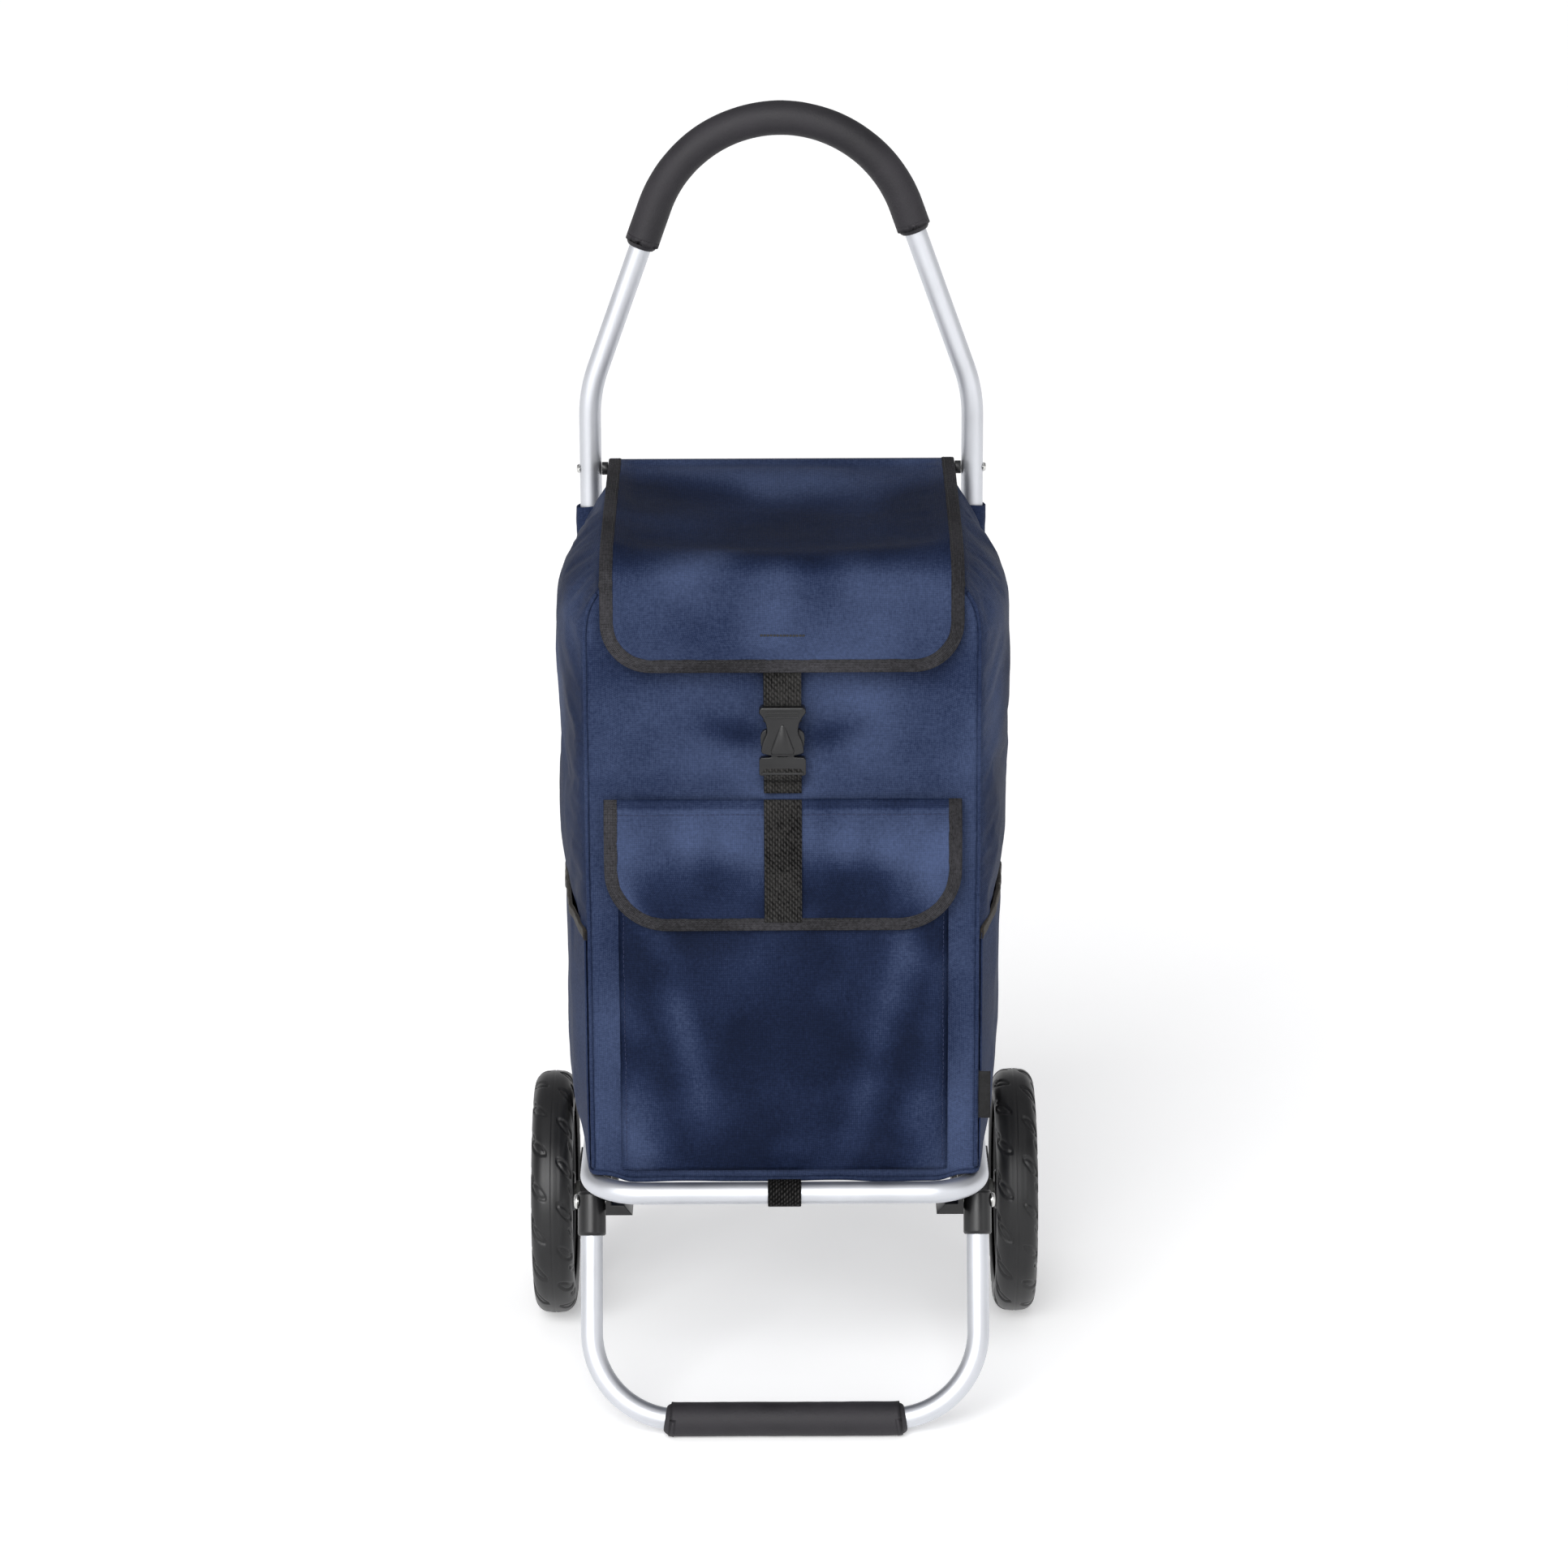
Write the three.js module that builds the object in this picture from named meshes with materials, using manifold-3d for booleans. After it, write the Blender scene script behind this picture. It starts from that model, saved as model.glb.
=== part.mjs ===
// A two-wheeled shopping trolley: a bent aluminium frame with a fabric bag, a platform that
// folds up against the uprights, and a stand that folds back under the platform.
// Millimetres, +Z up. The origin is on the floor, under the middle of the whole trolley.
// The front of the bag faces -Y, and "left" is the side towards -X.
import * as THREE from "three";
import { mergeVertices } from "three/addons/utils/BufferGeometryUtils.js";
import Module from "manifold-3d";

// ---- driving dimensions ----
const HEIGHT = 1050;
const WIDTH = 430;
const DEPTH = 400;
const GAP = 0.3; // left between pieces that touch

const TUBE_R = 9;
const TUBE_BORE_R = 7.5;
const FRAME_X = 158; // the uprights, the platform's sides and the stand's legs

const WHEEL_R = 104.6;
const TYRE_WIDTH = 35;
const TYRE_BORE_R = 80;
const WHEEL_X = WIDTH / 2 - TYRE_WIDTH / 2;
const AXLE_Y = DEPTH / 2 - WHEEL_R;
const AXLE_R = 4;
const HUB_INNER_X = 181;
const HUB_OUTER_X = 204;

const GRIP_R = 14; // foam, over its flats
const GRIP_BORE_R = 9.5;
const ARCH_R = 109;
const LEAN = 19.8; // degrees that the tube leans in above the bag
const SHOULDER_BEND_R = 120;
const GRIP_TAIL_LEFT = 36; // how far the grip runs down the straight on each side
const GRIP_TAIL_RIGHT = 23;

const CROSSBAR_Z = 745;
const CROSSBAR_R = 2.5;

const PLATFORM_Z = 203;
const PLATFORM_FRONT_Y = -164.6;
const PLATFORM_CORNER_R = 43;
const FOLD_Y = 60; // the platform's hinge
const PLATFORM_TAIL = 14; // past the hinge pin, under the stop

const STAND_PIVOT_Y = -120;
const STAND_PIVOT_Z = 179;
const STAND_FOOT_Y = -DEPTH / 2 + GRIP_R;
const STAND_CORNER_R = 71;
const SLEEVE_R = 11.5;
const SLEEVE_ABOVE = 8;
const SLEEVE_BELOW = 28;

const BAG_BOTTOM = 215.5;
const BAG_FRONT_Y = -150;
const BAG_BACK_Y = 82;
const BAG_FRONT_TOP = 718;
const BAG_BACK_TOP = 741;
const BAG_SIDE_TOP = 737; // of the side panels, at the back
const BAG_FRONT_X = 156;
const BAG_BACK_X = 163;
const BAG_RIM_X = 140;
const FABRIC = 2.5;
const POCKET_TOP = 437;

const LID_X = 143;
const LID_EDGE_Z = 640;
const LID_CORNER_R = 40;
const BINDING_WIDTH = 10;

const FLAP_X = 142;
const FLAP_TOP = 533;
const FLAP_EDGE_Z = 428;
const FLAP_CORNER_R = 50;

const STRAP_X = 15;
const BUCKLE_TOP = 611;
const BUCKLE_BASE = 554;

// ---- colours and finishes ----
const ALUMINIUM = [0xc9ccd0, 0.32, 1.0];
const STEEL = [0xa8a9ab, 0.35, 1.0];
const PLASTIC = [0x1a1a1c, 0.42, 0.0];
const RUBBER = [0x1d1d1f, 0.55, 0.0];
const FOAM = [0x2d2a2c, 0.9, 0.0];
const NYLON = [0x22335c, 0.55, 0.0];
const WEBBING = [0x2a2a2a, 0.8, 0.0];

const trolley = new THREE.Group();
const wasm = await Module();
wasm.setup();

// ---- helpers ----
const vec = (x, y, z) => new THREE.Vector3(x, y, z);
const radians = THREE.MathUtils.degToRad;
const mix = THREE.MathUtils.lerp;
const sideName = (side) => (side < 0 ? "left" : "right");

/** Adds one named piece with a finish of its own. */
function add(name, geometry, [color, roughness, metalness]) {
  const mesh = new THREE.Mesh(geometry, new THREE.MeshStandardMaterial({ color, roughness, metalness }));
  mesh.name = name;
  trolley.add(mesh);
}

/** The geometry with only its corners, shared between faces. */
function shared(geometry) {
  const bare = new THREE.BufferGeometry().setAttribute("position", geometry.getAttribute("position"));
  if (geometry.index) bare.setIndex(geometry.index);
  return mergeVertices(bare, 1e-3);
}

/** The same solid with every face pointing out. */
function faceOut(geometry) {
  const merged = shared(geometry);
  const at = merged.getAttribute("position");
  const corners = merged.index.array;
  const [a, b, c] = [vec(0, 0, 0), vec(0, 0, 0), vec(0, 0, 0)];
  let volume = 0;
  for (let i = 0; i < corners.length; i += 3) {
    a.fromBufferAttribute(at, corners[i]);
    b.fromBufferAttribute(at, corners[i + 1]);
    c.fromBufferAttribute(at, corners[i + 2]);
    volume += a.dot(b.cross(c));
  }
  if (volume < 0) {
    for (let i = 0; i < corners.length; i += 3) {
      [corners[i + 1], corners[i + 2]] = [corners[i + 2], corners[i + 1]];
    }
  }
  return merged;
}

function toSolid(geometry) {
  const merged = faceOut(geometry);
  const vertProperties = new Float32Array(merged.getAttribute("position").array);
  const triVerts = new Uint32Array(merged.index.array);
  return new wasm.Manifold(new wasm.Mesh({ numProp: 3, vertProperties, triVerts }));
}

function fromSolid(solid) {
  const mesh = solid.getMesh();
  const geometry = new THREE.BufferGeometry();
  geometry.setAttribute("position", new THREE.BufferAttribute(mesh.vertProperties, 3));
  geometry.setIndex(new THREE.BufferAttribute(mesh.triVerts, 1));
  return geometry;
}

/** body with each of tools cut away. */
function cut(body, ...tools) {
  return fromSolid(tools.reduce((left, tool) => left.subtract(toSolid(tool)), toSolid(body)));
}

/** All the pieces joined into one. */
function join(first, ...others) {
  return fromSolid(others.reduce((whole, other) => whole.add(toSolid(other)), toSolid(first)));
}

/** A box between two opposite corners. */
function block(low, high) {
  const size = high.clone().sub(low);
  const middle = high.clone().add(low).multiplyScalar(0.5);
  return new THREE.BoxGeometry(size.x, size.y, size.z).translate(middle.x, middle.y, middle.z);
}

/** A rod between two points. */
function rod(from, to, radius, sides = 12) {
  const along = to.clone().sub(from);
  const turn = new THREE.Quaternion().setFromUnitVectors(vec(0, 1, 0), along.clone().normalize());
  const middle = from.clone().add(to).multiplyScalar(0.5);
  return new THREE.CylinderGeometry(radius, radius, along.length(), sides)
    .applyQuaternion(turn)
    .translate(middle.x, middle.y, middle.z);
}

/** A body turned about the X axis through (y, z); the profile is a list of [x, radius]. */
function turned(profile, y, z, sides) {
  const points = profile.map(([x, radius]) => new THREE.Vector2(radius, x));
  return faceOut(new THREE.LatheGeometry(points, sides).rotateZ(-Math.PI / 2).translate(0, y, z));
}

/** A ring about the X axis, from x0 to x1. */
function ring(x0, x1, innerR, outerR, y, z, sides = 16) {
  const profile = [[x0, innerR], [x0, outerR], [x1, outerR], [x1, innerR], [x0, innerR]];
  return turned(profile, y, z, sides);
}

/** A flat outline drawn in (y, z), as thick as x0 to x1. */
function plate(shape, x0, x1, curveSegments = 6) {
  const settings = { depth: x1 - x0, bevelEnabled: false, curveSegments };
  const geometry = new THREE.ExtrudeGeometry(shape, settings);
  const axes = new THREE.Matrix4().makeBasis(vec(0, 1, 0), vec(0, 0, 1), vec(1, 0, 0));
  return geometry.applyMatrix4(axes).translate(x0, 0, 0);
}

/** A flat outline drawn in (x, z), from y0 to y1. */
function facePlate(shape, y0, y1, curveSegments = 6) {
  const settings = { depth: y1 - y0, bevelEnabled: false, curveSegments };
  return new THREE.ExtrudeGeometry(shape, settings).rotateX(Math.PI / 2).translate(0, y1, 0);
}

/**
 * A closed slab between two faces. face(u, v, side) gives a point for u and v from 0 to 1,
 * on the outer face where side is 0 and on the inner face where it is 1.
 */
function slab(columns, rows, face) {
  const points = [];
  const index = [];
  const perFace = (columns + 1) * (rows + 1);
  const at = (i, j, side) => side * perFace + j * (columns + 1) + i;
  const quad = (a, b, c, d) => index.push(a, b, c, a, c, d);
  for (const side of [0, 1]) {
    for (let j = 0; j <= rows; j++) {
      for (let i = 0; i <= columns; i++) points.push(...face(i / columns, j / rows, side).toArray());
    }
  }
  for (let j = 0; j < rows; j++) {
    for (let i = 0; i < columns; i++) {
      quad(at(i, j, 0), at(i + 1, j, 0), at(i + 1, j + 1, 0), at(i, j + 1, 0));
      quad(at(i, j, 1), at(i, j + 1, 1), at(i + 1, j + 1, 1), at(i + 1, j, 1));
    }
    quad(at(0, j, 0), at(0, j + 1, 0), at(0, j + 1, 1), at(0, j, 1));
    quad(at(columns, j + 1, 0), at(columns, j, 0), at(columns, j, 1), at(columns, j + 1, 1));
  }
  for (let i = 0; i < columns; i++) {
    quad(at(i + 1, 0, 0), at(i, 0, 0), at(i, 0, 1), at(i + 1, 0, 1));
    quad(at(i, rows, 0), at(i + 1, rows, 0), at(i + 1, rows, 1), at(i, rows, 1));
  }
  const geometry = new THREE.BufferGeometry();
  geometry.setAttribute("position", new THREE.Float32BufferAttribute(points, 3));
  geometry.setIndex(index);
  return faceOut(geometry);
}

/** A tube's route: straights and arcs, with stations only where the route bends. */
class Route extends THREE.Curve {
  constructor(start, heading) {
    super();
    this.stations = [{ point: start.clone(), heading: heading.clone().normalize() }];
  }
  get last() {
    return this.stations[this.stations.length - 1];
  }
  get steps() {
    return this.stations.length - 1;
  }
  straight(length) {
    const { point, heading } = this.last;
    this.stations.push({ point: point.clone().addScaledVector(heading, length), heading: heading.clone() });
    return this;
  }
  bend(radius, degrees, axis, pieces) {
    const { point, heading } = this.last;
    const centre = point.clone().addScaledVector(axis.clone().cross(heading), radius);
    for (let i = 1; i <= pieces; i++) {
      const angle = radians(degrees) * (i / pieces);
      this.stations.push({
        point: point.clone().sub(centre).applyAxisAngle(axis, angle).add(centre),
        heading: heading.clone().applyAxisAngle(axis, angle),
      });
    }
    return this;
  }
  station(u) {
    return this.stations[Math.round(u * this.steps)];
  }
  getPointAt(u) {
    return this.station(u).point.clone();
  }
  getTangentAt(u) {
    return this.station(u).heading.clone();
  }
}

/** A polygon round the origin, with one flat facing the angle given. */
function polygon(radius, sides, facing = 0) {
  const corner = (i) => {
    const angle = facing + ((i + 0.5) * 2 * Math.PI) / sides;
    return new THREE.Vector2(radius * Math.cos(angle), radius * Math.sin(angle));
  };
  return Array.from({ length: sides }, (_, i) => corner(i));
}

/** A hollow tube along a route. outward is the direction that one flat faces half-way along. */
function pipe(route, outerR, innerR, options = {}) {
  const { outward = null, outerSides = 12, innerSides = 8, overFlats = false } = options;
  const frames = route.computeFrenetFrames(route.steps, false);
  const middle = Math.round(route.steps / 2);
  const [normal, binormal] = [frames.normals[middle], frames.binormals[middle]];
  const facing = outward ? Math.atan2(outward.dot(binormal), outward.dot(normal)) : 0;
  const cornerR = overFlats ? outerR / Math.cos(Math.PI / outerSides) : outerR;
  const section = new THREE.Shape(polygon(cornerR, outerSides, facing));
  section.holes.push(new THREE.Path(polygon(innerR, innerSides, facing)));
  return faceOut(new THREE.ExtrudeGeometry(section, { steps: route.steps, extrudePath: route }));
}

// ---- main frame ----
const lean = radians(LEAN);
const bendRun = SHOULDER_BEND_R * (1 - Math.cos(lean));
const slopeLength = (FRAME_X - bendRun - ARCH_R * Math.cos(lean)) / Math.sin(lean);
const slopeRise = slopeLength * Math.cos(lean);
const ARCH_Z = HEIGHT - GRIP_R - ARCH_R; // the arch's centre
const SHOULDER_BEND_Z = ARCH_Z + (ARCH_R - SHOULDER_BEND_R) * Math.sin(lean) - slopeRise;
const UPRIGHT_FOOT_Z = 117;
const ARCH_PIECES = 10;
const IN = vec(0, 1, 0); // turning from straight up towards +X

function frameRoute() {
  return new Route(vec(-FRAME_X, AXLE_Y, UPRIGHT_FOOT_Z), vec(0, 0, 1))
    .straight(SHOULDER_BEND_Z - UPRIGHT_FOOT_Z)
    .bend(SHOULDER_BEND_R, LEAN, IN, 3)
    .straight(slopeLength)
    .bend(ARCH_R, 180 - 2 * LEAN, IN, ARCH_PIECES)
    .straight(slopeLength)
    .bend(SHOULDER_BEND_R, LEAN, IN, 3)
    .straight(SHOULDER_BEND_Z - UPRIGHT_FOOT_Z);
}

const SCREW_R = 1.8;
const SCREW_HOLE_R = 2.3;

function mainFrame() {
  const holes = [-1, 1].map((side) =>
    rod(vec(side * 140, AXLE_Y, CROSSBAR_Z), vec(side * 175, AXLE_Y, CROSSBAR_Z), SCREW_HOLE_R, 8),
  );
  add("main_frame_tube", cut(pipe(frameRoute(), TUBE_R, TUBE_BORE_R), ...holes), ALUMINIUM);

  const archStart = vec(-ARCH_R * Math.cos(lean), AXLE_Y, ARCH_Z + ARCH_R * Math.sin(lean));
  const up = vec(Math.sin(lean), 0, Math.cos(lean));
  const grip = new Route(archStart.addScaledVector(up, -GRIP_TAIL_LEFT), up)
    .straight(GRIP_TAIL_LEFT)
    .bend(ARCH_R, 180 - 2 * LEAN, IN, ARCH_PIECES)
    .straight(GRIP_TAIL_RIGHT);
  const options = { outward: vec(0, 0, 1), innerSides: 12, overFlats: true };
  add("handle_grip", pipe(grip, GRIP_R, GRIP_BORE_R + GAP, options), FOAM);
}

/** The rod that carries the rear edge of the bag, and the small cups that hold its ends. */
function crossbar() {
  const CUP_INNER_X = 143.6;
  const CUP_R = 5.5;
  const CUP_BORE_R = CROSSBAR_R + 0.4;
  const HEAD_R = 4;
  const HEAD_DEPTH = 2.4;
  const cupOuter = FRAME_X - TUBE_R - GAP;
  const rodEnd = cupOuter - 2;
  const at = (x) => vec(x, AXLE_Y, CROSSBAR_Z);
  add("crossbar_rod", rod(at(-rodEnd), at(rodEnd), CROSSBAR_R), STEEL);
  for (const side of [-1, 1]) {
    const cup = rod(at(side * CUP_INNER_X), at(side * cupOuter), CUP_R);
    const bore = rod(at(side * (CUP_INNER_X - 4)), at(side * (rodEnd + GAP)), CUP_BORE_R);
    add("crossbar_bracket_" + sideName(side), cut(cup, bore), PLASTIC);
    const headInner = FRAME_X + TUBE_R + GAP;
    const tip = cupOuter + GAP;
    const profile = [
      [tip, 0],
      [tip, SCREW_R],
      [headInner, SCREW_R],
      [headInner, HEAD_R],
      [headInner + HEAD_DEPTH - 0.4, HEAD_R - 1],
      [headInner + HEAD_DEPTH, 0],
    ];
    const mirrored = profile.map(([x, r]) => [side * x, r]);
    add("crossbar_screw_" + sideName(side), turned(mirrored, AXLE_Y, CROSSBAR_Z, 10), STEEL);
  }
}

// ---- axle and wheels ----
const BRACKET_INNER_X = 144;
const BRACKET_OUTER_X = 176;

function axle() {
  const AXLE_END_X = 207.5;
  const AXLE_HOLE_R = AXLE_R + 0.5;
  const BRACKET_TOP = 139;
  const BRACKET_HALF = 16;
  const BRACKET_NOSE_R = 18;
  const SOCKET_R = TUBE_R + 0.6;
  const onAxle = (x) => vec(x, AXLE_Y, WHEEL_R);
  add("axle_rod", rod(onAxle(-AXLE_END_X), onAxle(AXLE_END_X), AXLE_R, 16), STEEL);
  for (const side of [-1, 1]) {
    const name = sideName(side);
    const outline = new THREE.Shape();
    outline.moveTo(AXLE_Y + BRACKET_HALF, BRACKET_TOP);
    outline.lineTo(AXLE_Y - BRACKET_HALF, BRACKET_TOP);
    outline.lineTo(AXLE_Y - BRACKET_HALF, WHEEL_R);
    outline.absarc(AXLE_Y, WHEEL_R, BRACKET_NOSE_R, Math.PI, 2 * Math.PI, false);
    outline.closePath();
    const [x0, x1] = [BRACKET_INNER_X, BRACKET_OUTER_X].map((x) => side * x).sort((a, b) => a - b);
    const upright = (z) => vec(side * FRAME_X, AXLE_Y, z);
    const socket = rod(upright(UPRIGHT_FOOT_Z - GAP), upright(BRACKET_TOP + 6), SOCKET_R, 16);
    const bore = rod(onAxle(x0 - 5), onAxle(x1 + 5), AXLE_HOLE_R, 16);
    add("axle_bracket_" + name, cut(plate(outline, x0, x1, 8), socket, bore), PLASTIC);

    const spacer = [BRACKET_OUTER_X + GAP, HUB_INNER_X - GAP].map((x) => side * x);
    add("axle_spacer_" + name, ring(spacer[0], spacer[1], AXLE_HOLE_R, 9, AXLE_Y, WHEEL_R), PLASTIC);
    const clip = [HUB_OUTER_X + 2 * GAP, HUB_OUTER_X + 2].map((x) => side * x);
    add("axle_clip_" + name, ring(clip[0], clip[1], AXLE_R + GAP, 8, AXLE_Y, WHEEL_R, 12), STEEL);
  }
}

/** One wheel's rim as a flat outline: a ring, a hub and five spokes with the gaps between them. */
function rimOutline(outerR, hubR, boreR) {
  const SPOKES = 5;
  const innerRimR = outerR - 6.5;
  const spokeHalf = 6.5;
  const outline = new THREE.Shape().absarc(0, 0, outerR, 0, 2 * Math.PI, false);
  outline.holes.push(new THREE.Path().absarc(0, 0, boreR, 0, 2 * Math.PI, true));
  for (let i = 0; i < SPOKES; i++) {
    const from = (i * 2 * Math.PI) / SPOKES;
    const to = ((i + 1) * 2 * Math.PI) / SPOKES;
    const wide = Math.asin(spokeHalf / innerRimR);
    const narrow = Math.asin(spokeHalf / hubR);
    const gap = new THREE.Path();
    gap.absarc(0, 0, innerRimR, from + wide, to - wide, false);
    gap.absarc(0, 0, hubR, to - narrow, from + narrow, true);
    outline.holes.push(gap);
  }
  return outline;
}

function wheels() {
  const SHOULDER = 9;
  const HUB_R = 17;
  const HUB_BORE_R = 7.2;
  const SPOKE_HUB_R = 24;
  const [rimInner, rimOuter] = [WHEEL_X - 9, WHEEL_X + 6];
  for (const side of [-1, 1]) {
    const name = sideName(side);
    const half = TYRE_WIDTH / 2;
    const profile = [
      [-half + 2, TYRE_BORE_R],
      [-half, TYRE_BORE_R + 3],
      [-half, WHEEL_R - SHOULDER],
    ];
    for (let i = 1; i <= 3; i++) {
      const angle = (i * Math.PI) / 6;
      const x = -half + SHOULDER * (1 - Math.cos(angle));
      profile.push([x, WHEEL_R - SHOULDER + SHOULDER * Math.sin(angle)]);
    }
    const mirrored = profile.map(([x, r]) => [-x, r]).reverse();
    const closed = [...profile, ...mirrored, profile[0]].map(([x, r]) => [side * WHEEL_X + x, r]);
    add("tyre_" + name, turned(closed, AXLE_Y, WHEEL_R, 36), RUBBER);

    const outline = rimOutline(TYRE_BORE_R - 2 * GAP, SPOKE_HUB_R, HUB_BORE_R);
    const [r0, r1] = [side * rimInner, side * rimOuter].sort((a, b) => a - b);
    const rim = plate(outline, r0, r1, 9).translate(0, AXLE_Y, WHEEL_R);
    const [h0, h1] = [side * HUB_INNER_X, side * HUB_OUTER_X].sort((a, b) => a - b);
    add("rim_" + name, join(rim, ring(h0, h1, HUB_BORE_R, HUB_R, AXLE_Y, WHEEL_R, 20)), PLASTIC);
    add("wheel_bush_" + name, ring(h0, h1, AXLE_R + 0.5, HUB_BORE_R - 0.4, AXLE_Y, WHEEL_R, 12), WEBBING);

    const face = HUB_OUTER_X + GAP;
    const cap = [
      [face, 10],
      [face, HUB_R],
      [face + 6, HUB_R - 1],
      [face + 8.5, 12],
      [face + 9.6, 0],
      [face + 6.5, 0],
      [face + 5, 10],
      [face, 10],
    ];
    add("hub_cap_" + name, turned(cap.map(([x, r]) => [side * x, r]), AXLE_Y, WHEEL_R, 20), PLASTIC);
  }
}

// ---- platform ----
const ACROSS = vec(0, 0, 1);
const PIN_R = 3;
const PIN_HOLE_R = 3.5;

function platformTube() {
  const run = FOLD_Y + PLATFORM_TAIL - PLATFORM_FRONT_Y - PLATFORM_CORNER_R;
  const route = new Route(vec(-FRAME_X, FOLD_Y + PLATFORM_TAIL, PLATFORM_Z), vec(0, -1, 0))
    .straight(run)
    .bend(PLATFORM_CORNER_R, 90, ACROSS, 8)
    .straight(2 * (FRAME_X - PLATFORM_CORNER_R))
    .bend(PLATFORM_CORNER_R, 90, ACROSS, 8)
    .straight(run);
  const hole = rod(vec(-200, FOLD_Y, PLATFORM_Z), vec(200, FOLD_Y, PLATFORM_Z), PIN_HOLE_R, 12);
  add("platform_tube", cut(pipe(route, TUBE_R, TUBE_BORE_R), hole), ALUMINIUM);
}

/**
 * The bracket on each upright that the platform turns in.
 * A ledge over the tube's tail stops it when level.
 */
function platformHinges() {
  const HALF = 13.5;
  const NOSE_R = 11.8;
  const LEDGE_Z = PLATFORM_Z + TUBE_R + 0.4;
  const UPRIGHT_HOLE_R = TUBE_R + 0.6;
  const [front, back, below, above] = [30, AXLE_Y + 15, 180, 230];
  const slotHalf = TUBE_R + 0.6;
  const slotBack = FOLD_Y + PLATFORM_TAIL + 3.5;
  const mouthBack = FOLD_Y + TUBE_R + 0.8;
  for (const side of [-1, 1]) {
    const outline = new THREE.Shape();
    outline.moveTo(back, PLATFORM_Z + NOSE_R);
    outline.lineTo(FOLD_Y, PLATFORM_Z + NOSE_R);
    outline.absarc(FOLD_Y, PLATFORM_Z, NOSE_R, Math.PI / 2, 1.5 * Math.PI, false);
    outline.lineTo(back, PLATFORM_Z - NOSE_R);
    outline.closePath();
    const x = side * FRAME_X;
    const body = plate(outline, x - HALF, x + HALF);
    const slot = block(vec(x - slotHalf, front, below), vec(x + slotHalf, slotBack, LEDGE_Z));
    const mouth = block(vec(x - slotHalf, front, PLATFORM_Z), vec(x + slotHalf, mouthBack, above));
    const upright = rod(vec(x, AXLE_Y, below), vec(x, AXLE_Y, above), UPRIGHT_HOLE_R, 16);
    const pinHole = rod(vec(x - 20, FOLD_Y, PLATFORM_Z), vec(x + 20, FOLD_Y, PLATFORM_Z), PIN_HOLE_R, 12);
    add("platform_hinge_" + sideName(side), cut(body, slot, mouth, upright, pinHole), PLASTIC);

    const grip = HALF + GAP;
    const half = [
      [grip, PIN_R],
      [grip, 5.5],
      [grip + 2, 4],
      [grip + 2, 0],
    ];
    const profile = [...half.map(([dx, r]) => [-dx, r]).reverse(), ...half];
    const pin = turned(profile.map(([dx, r]) => [x + dx, r]), FOLD_Y, PLATFORM_Z, 12);
    add("platform_pin_" + sideName(side), pin, STEEL);
  }
}

/** Under each front corner: a cheek beside the stand's leg, with a toe that points inwards. */
function standBrackets() {
  const CHEEK_INNER_X = 141.8;
  const CHEEK_TOP = 211;
  const CHEEK_FOOT = 173;
  const CHEEK_HALF_DEPTH = 17;
  const TOE_TOP = 182;
  const TOE_X = 124;
  const NUT_INNER_X = 136.5;
  const BOLT_END_X = 134.5;
  const HEAD_R = 6;
  const cheekOuter = FRAME_X - SLEEVE_R - GAP;
  const padOuter = FRAME_X - TUBE_R - GAP;
  for (const side of [-1, 1]) {
    const name = sideName(side);
    const outline = new THREE.Shape();
    outline.moveTo(side * padOuter, CHEEK_TOP);
    outline.lineTo(side * CHEEK_INNER_X, CHEEK_TOP);
    outline.lineTo(side * CHEEK_INNER_X, TOE_TOP);
    outline.lineTo(side * (TOE_X + 7), TOE_TOP);
    outline.lineTo(side * TOE_X, CHEEK_FOOT);
    outline.lineTo(side * cheekOuter, CHEEK_FOOT);
    outline.lineTo(side * cheekOuter, PLATFORM_Z - 8);
    outline.lineTo(side * padOuter, PLATFORM_Z - 6);
    outline.closePath();
    const body = facePlate(outline, STAND_PIVOT_Y - CHEEK_HALF_DEPTH, STAND_PIVOT_Y + CHEEK_HALF_DEPTH);
    const pivot = (x) => vec(side * x, STAND_PIVOT_Y, STAND_PIVOT_Z);
    const boltHole = rod(pivot(CHEEK_INNER_X - 0.4), pivot(FRAME_X - 3), PIN_HOLE_R, 12);
    const roomBetween = (xa, xb, y0, y1, z0, z1) =>
      block(vec(Math.min(side * xa, side * xb), y0, z0), vec(Math.max(side * xa, side * xb), y1, z1));
    const nutRoom = roomBetween(133, CHEEK_INNER_X, STAND_PIVOT_Y - 8, STAND_PIVOT_Y + 8, 171, 187);
    const overTube = PLATFORM_Z - TUBE_R - GAP;
    const tubeRoom = roomBetween(130, 160, STAND_PIVOT_Y - 20, STAND_PIVOT_Y - 1, overTube, 220);
    add("stand_bracket_" + name, cut(body, boltHole, nutRoom, tubeRoom), PLASTIC);

    const headInner = FRAME_X + SLEEVE_R + GAP;
    const bolt = [
      [BOLT_END_X, 0],
      [BOLT_END_X, PIN_R],
      [headInner, PIN_R],
      [headInner, HEAD_R],
      [headInner + 2, HEAD_R - 0.6],
      [headInner + 3, 0],
    ];
    const mirrored = bolt.map(([x, r]) => [side * x, r]);
    add("stand_bolt_" + name, turned(mirrored, STAND_PIVOT_Y, STAND_PIVOT_Z, 12), STEEL);
    const nutOuter = CHEEK_INNER_X - GAP;
    const [n0, n1] = [side * NUT_INNER_X, side * nutOuter];
    add("stand_nut_" + name, ring(n0, n1, PIN_HOLE_R, HEAD_R, STAND_PIVOT_Y, STAND_PIVOT_Z, 6), STEEL);
  }
}

/** A strap sewn round the middle of the platform's front tube. */
function baseStrap() {
  const HALF = 13.5;
  const inner = TUBE_R + 0.4;
  add("base_strap", ring(-HALF, HALF, inner, inner + 1.8, PLATFORM_FRONT_Y, PLATFORM_Z, 16), WEBBING);
}

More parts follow.
